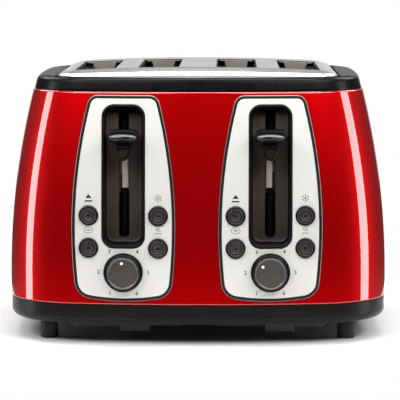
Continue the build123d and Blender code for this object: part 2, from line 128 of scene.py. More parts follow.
def loop_columns(nf, nc, ns):
    q = [("F", i / nf) for i in range(nf)] + [("C", i / nc) for i in range(nc)] + [("S", i / ns) for i in range(ns)]
    end = ("S", 1.0)
    cols = [(s, f, 1, 1) for s, f in q] + [end + (1, 1)]
    cols += [(s, f, 1, -1) for s, f in reversed(q)]
    cols += [(s, f, -1, -1) for s, f in q[1:]] + [end + (-1, -1)]
    cols += [(s, f, -1, 1) for s, f in reversed(q)][:-1]
    return cols


def plan_ring(cols, z, off):
    p = plan(z, off)
    out = []
    for s, f, mx, my in cols:
        x, y = p.quarter(s, f)
        out.append((mx * x, my * y, z))
    return out


def front_y(x, z, off):
    p = plan(z, off)
    return p.fy - math.sqrt(p.rf ** 2 - x * x)


RF0 = plan(40.0, 0.0).rf
Y_FACE = -HALF_D + RF0 - math.sqrt(RF0 ** 2 - MOD_X ** 2)


def mod_pt(s, lx, ly, z):
    """Control-module frame to the body frame."""
    return (s * MOD_X + lx, Y_FACE + ly, z)


def face_ly(s, lx, z, off):
    """Depth in the module frame of the body's face, moved out by off."""
    return front_y(s * MOD_X + lx, z, off) - Y_FACE


def face_pt(s, lx, z, off):
    return mod_pt(s, lx, face_ly(s, lx, z, off), z)


# ------------------------------------------------------------------ outlines (lists of 2-D points, counter-clockwise)
def panel_loop(d, n=(16, 12, 46, 10, 10)):
    rt, rb = 8.5, 14.0
    sx, sz, bz = PANEL_HW - PANEL_SIDE_R, PANEL_MID_Z, PANEL_BOTTOM + PANEL_FOOT_R
    # centres of the corner arcs
    tz = PANEL_TOP - rt
    tx = sx + math.sqrt((PANEL_SIDE_R - rt) ** 2 - (tz - sz) ** 2)
    z = 50.0
    for _ in range(80):
        x = sx + math.sqrt((PANEL_SIDE_R - rb) ** 2 - (z - sz) ** 2)
        z = bz - math.sqrt((PANEL_FOOT_R - rb) ** 2 - x * x)
    cx, cz = x, z
    a0 = math.atan2(cx, bz - cz)                 # foot arc half angle
    a1 = math.atan2(cz - sz, cx - sx)            # side arc start (negative)
    a2 = math.atan2(tz - sz, tx - sx)            # side arc end
    half = []
    for i in range(n[0]):
        t = a0 * i / n[0]
        half.append(((PANEL_FOOT_R - d) * math.sin(t), bz - (PANEL_FOOT_R - d) * math.cos(t)))
    for i in range(n[1]):
        t = (a0 - math.pi / 2) + (a1 - (a0 - math.pi / 2)) * i / n[1]
        half.append((cx + (rb - d) * math.cos(t), cz + (rb - d) * math.sin(t)))
    for i in range(n[2]):
        t = a1 + (a2 - a1) * i / n[2]
        half.append((sx + (PANEL_SIDE_R - d) * math.cos(t), sz + (PANEL_SIDE_R - d) * math.sin(t)))
    for i in range(n[3]):
        t = a2 + (math.pi / 2 - a2) * i / n[3]
        half.append((tx + (rt - d) * math.cos(t), tz + (rt - d) * math.sin(t)))
    for i in range(n[4]):
        half.append((tx * (1 - i / n[4]), PANEL_TOP - d))
    return half + [(0.0, PANEL_TOP - d)] + [(-p, q) for p, q in reversed(half[1:])]


def rr_loop(cx, cy, hw, hh, r, n=(10, 8, 24)):
    """Rounded rectangle; n = points along x sides, corners, y sides."""
    pts = []
    corners = [(1, -1, -90), (1, 1, 0), (-1, 1, 90), (-1, -1, 180)]
    for k, (mx, my, a) in enumerate(corners):
        ox, oy = cx + mx * (hw - r), cy + my * (hh - r)
        for i in range(n[1] + 1):
            t = math.radians(a + 90 * i / n[1])
            pts.append((ox + r * math.cos(t), oy + r * math.sin(t)))
        nx, ny, na = corners[(k + 1) % 4]
        qx, qy = cx + nx * (hw - r), cy + ny * (hh - r)
        t = math.radians(na)
        q = (qx + r * math.cos(t), qy + r * math.sin(t))
        p = pts[-1]
        m = n[2] if k % 2 == 0 else n[0]
        for i in range(1, m):
            pts.append((p[0] + (q[0] - p[0]) * i / m, p[1] + (q[1] - p[1]) * i / m))
    return pts


def circle_loop(cx, cy, r, n=48):
    return [(cx + r * math.cos(2 * math.pi * i / n), cy + r * math.sin(2 * math.pi * i / n)) for i in range(n)]


def inside(pt, poly):
    x, y = pt
    c = False
    j = len(poly) - 1
    for i in range(len(poly)):
        xi, yi = poly[i]
        xj, yj = poly[j]
        if (yi > y) != (yj > y) and x < (xj - xi) * (y - yi) / (yj - yi) + xi:
            c = not c
        j = i
    return c


def near_loop(pt, arr, d):
    q = np.array(pt)
    return bool(((arr - q) ** 2).sum(1).min() < d * d)


def fill(outer, holes, step):
    """Triangles of the area inside outer and outside the holes: (points, faces, index lists of the loops)."""
    pts = list(outer)
    loops = [list(range(len(outer)))]
    for h in holes:
        loops.append(list(range(len(pts), len(pts) + len(h))))
        pts += list(h)
    edges = [(l[i], l[(i + 1) % len(l)]) for l in loops for i in range(len(l))]
    arrs = [np.array(l) for l in [outer] + list(holes)]
    o = arrs[0]
    lo, hi = o.min(0), o.max(0)
    nx, ny = max(int((hi[0] - lo[0]) / step), 1), max(int((hi[1] - lo[1]) / step), 1)
    for i in range(1, nx):
        for j in range(1, ny):
            p = (lo[0] + (hi[0] - lo[0]) * i / nx, lo[1] + (hi[1] - lo[1]) * j / ny)
            if not inside(p, outer) or any(inside(p, h) for h in holes):
                continue
            if any(near_loop(p, a, 0.55 * step) for a in arrs):
                continue
            pts.append(p)
    v, e, f, ov, oe, of = delaunay_2d_cdt([Vector(p) for p in pts], edges, [], 0, 1e-7)
    back = {}
    for k, src in enumerate(ov):
        for s_ in src:
            back[s_] = k
    v2 = [(p.x, p.y) for p in v]
    faces = []
    for t in f:
        c = (sum(v2[i][0] for i in t) / 3, sum(v2[i][1] for i in t) / 3)
        if inside(c, outer) and not any(inside(c, h) for h in holes):
            a, b, c2 = (v2[i] for i in t)
            if (b[0] - a[0]) * (c2[1] - a[1]) - (b[1] - a[1]) * (c2[0] - a[0]) < 0:
                t = (t[0], t[2], t[1])
            faces.append(tuple(t))
    return v2, faces, [[back[i] for i in l] for l in loops]


# ------------------------------------------------------------------ mesh builder
class Build:
    def __init__(self):
        self.v, self.f, self.n, self.flat = [], [], {}, set()

    def add(self, pts):
        k = len(self.v)
        self.v += [tuple(p) for p in pts]
        return list(range(k, len(self.v)))

    def strip(self, a, b, closed=True, flat=False):
        """Quads between two index loops, facing right of the way from a to b."""
        m = len(a)
        for i in range(m if closed else m - 1):
            j = (i + 1) % m
            if flat:
                self.flat.add(len(self.f))
            self.f.append((a[i], a[j], b[j], b[i]))

    def fan(self, loop, centre, flip=False):
        c = self.add([centre])[0]
        for i in range(len(loop)):
            j = (i + 1) % len(loop)
            self.f.append((loop[j], loop[i], c) if flip else (loop[i], loop[j], c))

    def object(self, name, body, nodes=(), material=None, slot=None, sharp=35.0, shift=True):
        me = bpy.data.meshes.new(name)
        ys = Y_SHIFT if shift else 0.0
        me.from_pydata([(x * MM, (y + ys) * MM, z * MM) for x, y, z in self.v], [], self.f)
        me.validate(clean_customdata=False)
        me.polygons.foreach_set("use_smooth", [True] * len(me.polygons))
        if sharp is not None:
            mark_sharp(me, sharp)
        if self.n:
            mark_normals(me, self.n)
        me.update()
        ob = bpy.data.objects.new(name, me)
        bpy.context.scene.collection.objects.link(ob)
        if material:
            me.materials.append(material)
        if body:
            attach(ob, body)
        if nodes:
            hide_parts(*nodes)
        return ob


def mark_sharp(me, deg):
    me.update()
    lim = math.cos(math.radians(deg))
    normals = [p.normal.copy() for p in me.polygons]
    users = {}
    for p in me.polygons:
        for k in p.edge_keys:
            users.setdefault(k, []).append(p.index)
    flags = []
    for e in me.edges:
        u = users.get(tuple(sorted(e.vertices)), [])
        flags.append(len(u) == 2 and normals[u[0]].dot(normals[u[1]]) < lim)
    att = me.attributes.get("sharp_edge") or me.attributes.new("sharp_edge", "BOOLEAN", "EDGE")
    att.data.foreach_set("value", flags)


def mark_normals(me, vn):
    """Exact normals on the corners of faces that lie on the given vertices' surface."""
    me.update()
    out = []
    for p in me.polygons:
        on = all(v in vn for v in p.vertices)
        for v in p.vertices:
            n = vn.get(v)
            if on and n is not None and n.dot(p.normal) > 0.9:
                out.append(tuple(n))
            else:
                out.append((0.0, 0.0, 0.0))
    me.normals_split_custom_set(out)


def lathe(points, n=96, axis_pt=None, wrap=None):
    """Rings of a profile of (r, h); wrap(r*cos, r*sin, h) gives the 3-D point. Closed at r = 0 ends."""
    b = Build()
    rings = []
    points = [p for k, p in enumerate(points) if k == 0 or math.dist(p, points[k - 1]) > 1e-4]
    for r, h in points:
        if r < 1e-6:
            rings.append(b.add([wrap(0.0, 0.0, h)]))
        else:
            rings.append(b.add([wrap(r * math.cos(2 * math.pi * i / n), r * math.sin(2 * math.pi * i / n), h) for i in range(n)]))
    for p, q in zip(rings, rings[1:]):
        if len(p) == 1 and len(q) == 1:
            continue
        if len(p) == 1:
            for i in range(n):
                b.f.append((p[0], q[(i + 1) % n], q[i]))
        elif len(q) == 1:
            for i in range(n):
                b.f.append((p[i], p[(i + 1) % n], q[0]))
        else:
            b.strip(p, q)
    return b


def arc_pts(cx, cy, r, a0, a1, n):
    return [(cx + r * math.cos(math.radians(a0 + (a1 - a0) * i / n)), cy + r * math.sin(math.radians(a0 + (a1 - a0) * i / n))) for i in range(n + 1)]


def plate(b, outer, holes, step, top_fn, back_fn, sharp_back=True):
    """Sheet between a front and a back face. outer and each hole: lists of (loop, map) from the front's edge to the back's."""
    v2, faces, loops = fill(outer[0][0], [h[0][0] for h in holes], step)
    front = b.add([top_fn(p) for p in v2])
    for t in faces:
        b.f.append(tuple(front[i] for i in t))
    ends = {}
    for k, (chain, ids) in enumerate(zip([outer] + list(holes), loops)):
        prev = [front[i] for i in ids]
        for pts, fn in chain[1:]:
            nxt = b.add([fn(p) for p in pts])
            if k == 0:
                b.strip(nxt, prev)
            else:
                b.strip(prev, nxt)
            prev = nxt
        for i, j in zip(ids, prev):
            ends[i] = j
    back = {}
    for i, p in enumerate(v2):
        back[i] = ends[i] if i in ends else b.add([back_fn(p)])[0]
    for t in faces:
        b.f.append((back[t[0]], back[t[2]], back[t[1]]))
    return front, v2


# ------------------------------------------------------------------ pieces
def make_shell(mat):
    b = Build()
    e, nu, nc, ns, nf = SHELL_EDGE, 100, 40, 36, 60
    arc = 6
    prof = [(SHELL_Z0 + e - e * math.cos(math.pi / 2 * k / arc), -e + e * math.sin(math.pi / 2 * k / arc)) for k in range(arc + 1)]
    lo_row = arc
    n_main = 48
    z0, z1 = SHELL_Z0 + e, SHELL_Z1 - e
    prof += [(z0 + (z1 - z0) * k / n_main, 0.0) for k in range(1, n_main + 1)]
    hi_row = lo_row + n_main
    prof += [(z1 + e * math.sin(math.pi / 2 * k / arc), -e + e * math.cos(math.pi / 2 * k / arc)) for k in range(1, arc + 1)]
    front = [("F", abs(-1 + 2 * j / nu), -1 if j < nu / 2 else 1, 1) for j in range(nu + 1)]
    rest = [("C", i / nc, 1, 1) for i in range(1, nc + 1)] + [("S", i / ns, 1, 1) for i in range(1, ns + 1)]
    rest += [("S", i / ns, 1, -1) for i in range(ns - 1, -1, -1)] + [("C", i / nc, 1, -1) for i in range(nc - 1, -1, -1)]
    rest += [("F", i / nf, 1, -1) for i in range(nf - 1, -1, -1)] + [("F", i / nf, -1, -1) for i in range(1, nf + 1)]
    rest += [("C", i / nc, -1, -1) for i in range(1, nc + 1)] + [("S", i / ns, -1, -1) for i in range(1, ns + 1)]
    rest += [("S", i / ns, -1, 1) for i in range(ns - 1, -1, -1)] + [("C", i / nc, -1, 1) for i in range(nc - 1, 0, -1)]
    cols = front + rest

    def at(col, z, off):
        x, y = plan(z, off).quarter(col[0], col[1])
        return (col[2] * x, col[3] * y, z)

    def normal(col, z):
        h = 0.4
        seg, f, mx, my = col
        df = 0.002
        p, q = at((seg, f - df, mx, my), z, 0.0), at((seg, f + df, mx, my), z, 0.0)
        r, t = at(col, z - h, 0.0), at(col, z + h, 0.0)
        n = (Vector(q) - Vector(p)).cross(Vector(t) - Vector(r))
        if n.dot(Vector((p[0], p[1], 0))) < 0:
            n = -n
        return n.normalized()

    m, ext, kc = len(cols), 8, 2.0

    def skip(c, r):
        return (c < nu + ext or c > m - ext) and lo_row < r < hi_row

    def field(c):
        return c < nu + ext or c >= m - ext

    idx = {}
    for c, col in enumerate(cols):
        for r, (z, off) in enumerate(prof):
            if not skip(c, r):
                idx[c, r] = b.add([at(col, z, off)])[0]
                if lo_row <= r <= hi_row:
                    b.n[idx[c, r]] = normal(col, z)
    inn = {}
    in_rows = [(-1, SHELL_Z0)] + [(r, prof[r][0]) for r in range(lo_row, hi_row + 1)] + [(999, SHELL_Z1)]
    for c, col in enumerate(cols):
        for r, z in in_rows:
            if not skip(c, r):
                inn[c, r] = b.add([at(col, z, -SHELL_T)])[0]
    last = len(prof) - 1
    for c in range(m):
        d = (c + 1) % m
        for r in range(last):
            if field(c) and lo_row <= r < hi_row:
                continue
            b.f.append((idx[c, r], idx[d, r], idx[d, r + 1], idx[c, r + 1]))
        for (r, _), (t, _) in zip(in_rows, in_rows[1:]):
            if field(c) and lo_row <= r < hi_row:
                continue
            b.f.append((inn[d, r], inn[c, r], inn[c, t], inn[d, t]))
        b.f.append((idx[c, last], idx[d, last], inn[d, 999], inn[c, 999]))
        b.f.append((inn[c, -1], inn[d, -1], idx[d, 0], idx[c, 0]))
    # front with its two cut-outs, laid out in (u, z)
    ku = 130.0
    across = list(range(m - ext, m)) + list(range(nu + ext + 1))
    u_of = lambda c: (-1 + 2 * c / nu) * ku if c <= nu else ku + (c - nu) * kc if c <= nu + ext else -ku - (m - c) * kc
    ring = [(c, lo_row) for c in across] + [(across[-1], r) for r in range(lo_row + 1, hi_row + 1)]
    ring += [(c, hi_row) for c in reversed(across[:-1])] + [(across[0], r) for r in range(hi_row - 1, lo_row, -1)]
    outer = [(u_of(c), prof[r][0]) for c, r in ring]
    holes = []
    for s in SIDES.values():
        loop = []
        for lx, z in panel_loop(0.0):
            x = face_pt(s, lx, z, 0.0)[0]
            p = plan(z, 0.0)
            u = math.asin(x / p.rf) / p.phi * ku
            if abs(x) > p.quarter("F", 1.0)[0]:
                lo, hi = 0.0, 1.0
                for _ in range(40):
                    f = (lo + hi) / 2
                    lo, hi = (f, hi) if p.quarter("C", f)[0] < abs(x) else (lo, f)
                u = math.copysign(ku + lo * nc * kc, x)
            loop.append((u, z))
        holes.append(loop)
    v2, faces, loops = fill(outer, holes, 3.4)


    def col_of(u):
        side = 1 if u >= 0 else -1
        return ("F", abs(u) / ku, side, 1) if abs(u) <= ku else ("C", (abs(u) - ku) / (nc * kc), side, 1)

    own, own_in = {}, {}
    for k, i in enumerate(loops[0]):
        own[i], own_in[i] = idx[ring[k]], inn[ring[k]]
    for i, (u, z) in enumerate(v2):
        if i not in own:
            own[i] = b.add([at(col_of(u), z, 0.0)])[0]
            own_in[i] = b.add([at(col_of(u), z, -SHELL_T)])[0]
            b.n[own[i]] = normal(col_of(u), z)
    for t in faces:
        b.f.append(tuple(own[i] for i in t))
        b.f.append((own_in[t[0]], own_in[t[2]], own_in[t[1]]))
    for l in loops[1:]:
        b.strip([own[i] for i in l], [own_in[i] for i in l])
    return b.object("shell_red", "chassis", ["outer_shell"], mat, "red_enamel")


def rr_ring(cols, hw, hd, r, z):
    out = []
    for s, f, mx, my in cols:
        if s == "F":
            x, y = f * (hw - r), -hd
        elif s == "C":
            t = f * math.pi / 2
            x, y = hw - r + r * math.sin(t), -(hd - r) - r * math.cos(t)
        else:
            x, y = hw, -(hd - r) * (1 - f)
        out.append((mx * x, my * y, z))
    return out


def make_collar(mat):
    b = Build()
    cols = loop_columns(70, 40, 50)
    rings = []
    e = 3.2
    for k in range(4):
        t = math.pi / 2 * k / 3
        rings.append(plan_ring(cols, COLLAR_Z0 + 0.6 - 0.6 * math.cos(t), COLLAR_OFF - 0.6 + 0.6 * math.sin(t)))
    for z in (202.2, 204.0, 205.8, COLLAR_Z1 - e):
        rings.append(plan_ring(cols, z, COLLAR_OFF))
    for k in range(1, 11):
        t = math.pi / 2 * k / 10
        rings.append(plan_ring(cols, COLLAR_Z1 - e + e * math.sin(t), COLLAR_OFF - e + e * math.cos(t)))
    hw, hd, r = PLATE_HW + PLATE_GAP, PLATE_HD + PLATE_GAP, PLATE_R + PLATE_GAP
    o = np.array(rings[-1])
    i = np.array(rr_ring(cols, hw + 1.2, hd + 1.2, r + 1.2, COLLAR_Z1))
    for k in (1, 2, 3, 4, 5):
        w = k / 6
        ring = o * (1 - w) + i * w
        ring[:, 2] += 0.35 * math.sin(math.pi * w)
        rings.append([tuple(p) for p in ring])
    for k in range(6):
        t = math.pi / 2 * k / 5
        rings.append(rr_ring(cols, hw + 1.2 * (1 - math.sin(t)), hd + 1.2 * (1 - math.sin(t)), r + 1.2 * (1 - math.sin(t)), COLLAR_Z1 - 1.2 + 1.2 * math.cos(t)))
    rings.append(rr_ring(cols, hw, hd, r, COLLAR_SEAT))
    rings.append(rr_ring(cols, PLATE_HW - 6, PLATE_HD - 6, PLATE_R - 6, COLLAR_SEAT))
    rings.append(rr_ring(cols, PLATE_HW - 6, PLATE_HD - 6, PLATE_R - 6, COLLAR_Z0))
    ids = [b.add(r_) for r_ in rings]
    for p, q in zip(ids, ids[1:] + ids[:1]):
        b.strip(p, q)
    return b.object("collar_black", "chassis", ["top_collar"], mat, "black_satin")


def crown(x, drop=0.0):
    r = PLATE_CROWN_R - drop
    return PLATE_TOP - PLATE_CROWN_R + math.sqrt(r * r - x * x)


def make_top_plate(mat):
    b = Build()
    n = (56, 14, 50)

    def edge(inset, drop_z):
        loop = rr_loop(0, 0, PLATE_HW - inset, PLATE_HD - inset, PLATE_R - inset, n)
        return loop, (lambda p, d=drop_z: (p[0], p[1], crown(p[0]) - d * (1 - 0.42 * (p[0] / PLATE_HW) ** 2)))

    def level(inset, z):
        loop = rr_loop(0, 0, PLATE_HW - inset, PLATE_HD - inset, PLATE_R - inset, n)
        return loop, (lambda p, z=z: (p[0], p[1], z))

    fall = [(11.5, 0.0), (10.2, 0.25), (8.9, 0.75), (7.5, 1.35), (6.1, 1.98), (4.7, 2.6), (3.4, 3.2), (2.9, 3.42), (2.4, 4.0), (1.9, 4.65), (1.45, 5.3), (1.1, 5.85), (0.9, 6.3), (0.76, 6.9), (0.65, 7.7), (0.55, 8.6), (0.47, 9.6)]
    rise = [(1.3, 9.4), (1.4, 8.6), (1.7, 7.6), (2.3, 6.4), (3.1, 5.2), (4.0, 4.5), (5.3, 3.8), (6.8, 3.1), (8.2, 2.45), (9.6, 1.85), (10.6, 1.45), (11.5, PLATE_T)]
    outer = [edge(i, d) for i, d in fall]
    outer += [level(0.0, COLLAR_SEAT + 0.1), level(PLATE_T, COLLAR_SEAT + 0.1)]
    outer += [edge(i, d) for i, d in rise]
    holes = []
    yc = SLOT_Y0 + SLOT_L / 2
    sn = (10, 6, 44)
    for x in (-SLOT_X[1], -SLOT_X[0], SLOT_X[0], SLOT_X[1]):
        def slot_at(out, drop_z, x=x):
            loop = rr_loop(x, yc, SLOT_W / 2 + out, SLOT_L / 2 + out, 3.0 + out, sn)
            return loop, (lambda p, d=drop_z: (p[0], p[1], crown(p[0]) - d))

        def slot_level(out, z, drop_z, x=x):
            loop = rr_loop(x, yc, SLOT_W / 2 + out, SLOT_L / 2 + out, 3.0 + out, sn)

            def lip(p, z=z, d=drop_z):
                cut = abs(p[0] - x) > SLOT_TAB_HW and abs(p[1] - yc) > SLOT_L / 2 - SLOT_RELIEF
                return (p[0], p[1], crown(p[0]) - d if cut else z)
            return loop, lip
        chain = []
        for k in range(7):
            t = math.pi / 2 * k / 6
            chain.append(slot_at(1.3 * (1 - math.sin(t)), 1.3 * (1 - math.cos(t))))
        chain += [slot_level(0.0, 211.0, 1.45), slot_level(0.0, SLOT_LIP_Z + 0.3, 1.6), slot_level(0.3, SLOT_LIP_Z, 1.8), slot_level(0.7, SLOT_LIP_Z, 1.8), slot_level(1.0, SLOT_LIP_Z + 0.3, 1.6), slot_at(1.0, PLATE_T)]
        holes.append(chain)
    front, v2 = plate(b, outer, holes, 4.0, lambda p: (p[0], p[1], crown(p[0])), lambda p: (p[0], p[1], crown(p[0], PLATE_T)))
    for i, p in zip(front, v2):
        b.n[i] = Vector((p[0], 0, math.sqrt(PLATE_CROWN_R ** 2 - p[0] ** 2))).normalized()
    ob = b.object("plate_steel", "chassis", ["top_plate"], mat[0], "steel_satin", sharp=50)
    for m in mat[1:]:
        ob.data.materials.append(m)
    for p in ob.data.polygons:
        c = p.center / MM
        dx = min(abs(abs(c.x) - x) for x in SLOT_X) - SLOT_W / 2
        dy = c.y - Y_SHIFT - yc
        # Painted shade: the rim and lip round each slot are coloured near black, and the far end lip a dim beige, as
        # shade inside the slots.
        if dx < 1.1 and abs(dy) - SLOT_L / 2 < 1.1:
            p.material_index = 2 if dy > 0 and p.normal.y < -0.85 else 1
        elif p.normal.z < 0.97:
            p.material_index = 3
    return ob


def make_panel(side, s, mat):
    b = Build()
    fp = lambda off: (lambda p: face_pt(s, p[0], p[1], off))
    e = 0.6
    outer = []
    for k in range(5):
        t = math.pi / 2 * k / 4
        outer.append((panel_loop(TRIM_W + e * (1 - math.sin(t))), fp(OFF_PANEL - e * (1 - math.cos(t)))))
    outer.append((panel_loop(TRIM_W), fp(OFF_PANEL_BACK)))
    mid, hh = (WELL_Z0 + WELL_Z1) / 2, (WELL_Z1 - WELL_Z0) / 2
    h = 0.35
    holes = []
    chain = []
    for k in range(4):
        t = math.pi / 2 * k / 3
        g = 0.1 + h * (1 - math.sin(t))
        chain.append((rr_loop(0, mid, WELL_HW + g, hh + g, WELL_R + g, (12, 10, 44)), fp(OFF_PANEL - h * (1 - math.cos(t)))))
    chain.append((rr_loop(0, mid, WELL_HW + 0.1, hh + 0.1, WELL_R + 0.1, (12, 10, 44)), fp(OFF_PANEL_BACK)))
    holes.append(chain)
    for lx, z, r in [(x, z, BTN_R + 0.35) for x, z in BTN_AT.values()] + [(0.0, KNOB_Z, 4.0)]:
        chain = []
        for k in range(4):
            t = math.pi / 2 * k / 3
            chain.append((circle_loop(lx, z, r + h * (1 - math.sin(t))), fp(OFF_PANEL - h * (1 - math.cos(t)))))
        chain.append((circle_loop(lx, z, r), fp(OFF_PANEL_BACK)))
        holes.append(chain)
    front, v2 = plate(b, outer, holes, 3.0, fp(OFF_PANEL), fp(OFF_PANEL_BACK))
    for i, p in zip(front, v2):
        q = [Vector(face_pt(s, p[0] + dx, p[1] + dz, OFF_PANEL)) for dx, dz in ((-.3, 0), (.3, 0), (0, -.3), (0, .3))]
        b.n[i] = (q[1] - q[0]).cross(q[3] - q[2]).normalized()
    return b.object("panel_steel_" + side, "chassis", ["control_panel_" + side], mat, "steel_satin")


def make_trim(side, s, mat):
    b = Build()
    prof = [(0.1, -SHELL_T), (0.1, 0.2), (0.1, OFF_TRIM - 0.75)]
    prof += [(0.1 + 0.75 * (1 - math.cos(math.pi / 2 * k / 6)), OFF_TRIM - 0.75 + 0.75 * math.sin(math.pi / 2 * k / 6)) for k in range(1, 7)]
    w = TRIM_W - 0.1
    prof += [(w - 0.75 + 0.75 * math.sin(math.pi / 2 * k / 6), OFF_TRIM - 0.75 + 0.75 * math.cos(math.pi / 2 * k / 6)) for k in range(0, 7)]
    prof += [(w, -SHELL_T)]
    ids = []
    for d, off in prof:
        ids.append(b.add([face_pt(s, x, z, off) for x, z in panel_loop(d)]))
    for p, q in zip(ids, ids[1:] + ids[:1]):
        b.strip(p, q)
    ob = b.object("trim_" + side, "chassis", ["panel_trim_" + side], mat[0], "trim_dark")
    ob.data.materials.append(mat[1])
    # The outer rounding of the trim is given a lighter steel than the dark trim: a painted highlight along its outer
    # edge.
    n = len(ids[0])
    for k in range(1, 6):
        for i in range(n):
            ob.data.polygons[k * n + i].material_index = 1
    return ob


def make_well(side, s, mat):
    b = Build()
    mid, hh = (WELL_Z0 + WELL_Z1) / 2, (WELL_Z1 - WELL_Z0) / 2
    n = (12, 10, 44)
    rr = lambda d: rr_loop(0, mid, WELL_HW - d, hh - d, WELL_R - d, n)
    deep = lambda y: (lambda p: mod_pt(s, p[0], y, p[1]))
    fp = lambda off: (lambda p: face_pt(s, p[0], p[1], off))
    fr = 3.4
    outer = []
    for k in range(8):
        t = math.pi / 2 * k / 7
        outer.append((rr(WELL_T + fr * (1 - math.sin(t))), deep(WELL_BACK - fr * (1 - math.cos(t)))))
    for f in (0.33, 0.66):
        outer.append((rr(WELL_T), (lambda p, f=f: mod_pt(s, p[0], (WELL_BACK - fr) * (1 - f) + f * face_ly(s, p[0], p[1], OFF_BEZEL - 0.5), p[1]))))
    q = 0.5
    for k in range(5):
        t = math.pi / 2 * k / 4
        outer.append((rr(WELL_T - q * (1 - math.cos(t))), fp(OFF_BEZEL - q + q * math.sin(t))))
    for k in range(5):
        t = math.pi / 2 * k / 4
        outer.append((rr(q * (1 - math.sin(t))), fp(OFF_BEZEL - q + q * math.cos(t))))
    outer.append((rr(0.0), fp(0.2)))
    outer.append((rr(0.0), deep(WELL_BACK + WELL_BACK_T)))
    sm, sh = (SLIT_Z0 + SLIT_Z1) / 2, (SLIT_Z1 - SLIT_Z0) / 2
    sl = lambda g: rr_loop(0, sm, SLIT_HW + g, sh + g, 3.2 + g, (4, 6, 44))
    hole = []
    for k in range(4):
        t = math.pi / 2 * k / 3
        hole.append((sl(0.4 * (1 - math.sin(t))), deep(WELL_BACK + 0.4 * (1 - math.cos(t)))))
    hole.append((sl(0.0), deep(WELL_BACK + WELL_BACK_T)))
    front, _ = plate(b, outer, [hole], 3.0, deep(WELL_BACK), deep(WELL_BACK + WELL_BACK_T))
    ob = b.object("well_" + side, "chassis", ["lever_well_" + side], mat[0], "black_gloss")
    ob.data.materials.append(mat[1])
    for p in ob.data.polygons:
        q = [ob.data.vertices[v].co / MM for v in p.vertices]
        if all(WELL_BACK - 1.1 < v.y - Y_SHIFT - Y_FACE < WELL_BACK + 0.01 for v in q) and all(abs(v.x - s * MOD_X) < WELL_HW - WELL_T + 0.01 for v in q) and p.normal.y < 0.0:
            p.material_index = 1
    return ob


SHIELD_Z0, SHIELD_Z1, SHIELD_HW = 146.4, 162.5, 6.4


def shield_w(z):
    """Half width of the shield at a height: a tongue that narrows to a round tip."""
    t = min(max((z - SHIELD_Z0) / (158.4 - SHIELD_Z0), 0.0), 1.0)
    return SHIELD_HW * t ** 0.32


def shield_loop(d, n=26):
    half = []
    for i in range(n + 1):
        z = SHIELD_Z0 + (SHIELD_Z1 - SHIELD_Z0) * (i / n) ** 2.2
        half.append((shield_w(z) * (1 - d / SHIELD_HW), z + d * 0.8 * (1 - i / n)))
    left = [(-x, z) for x, z in reversed(half[1:])]
    top = [(half[-1][0] * (1 - 2 * k / 8), SHIELD_Z1) for k in range(1, 8)]
    return half + top + left


def shield_y(x, z):
    """Front of the shield: rounded across and lifted a little towards the tip."""
    w = max(shield_w(z), 0.8)
    f = min(abs(x) / w, 1.0)
    return -1.2 - 0.24 * max(156.8 - z, 0.0) + 0.03 * max(149.0 - z, 0.0) ** 2 + 2.0 * f ** 2.4


def bar_y(x, z):
    """Front of the bar: a face that leans back, with a lens-shaped bead along its lower half."""
    dz = z - (LEVER_Z - 0.9)
    y = LEVER_FRONT + 2.0 + 0.20 * max(dz, 0.0) + 0.30 * max(-dz - 1.0, 0.0)
    q = 1 - (x / (LEVER_HW - 1.4)) ** 2
    if q > 0:
        hb = 2.3 * q ** 0.4
        g = 1 - (dz / hb) ** 2
        if g > 0:
            y -= 2.0 * g ** 0.55 * q ** 0.4
    return y


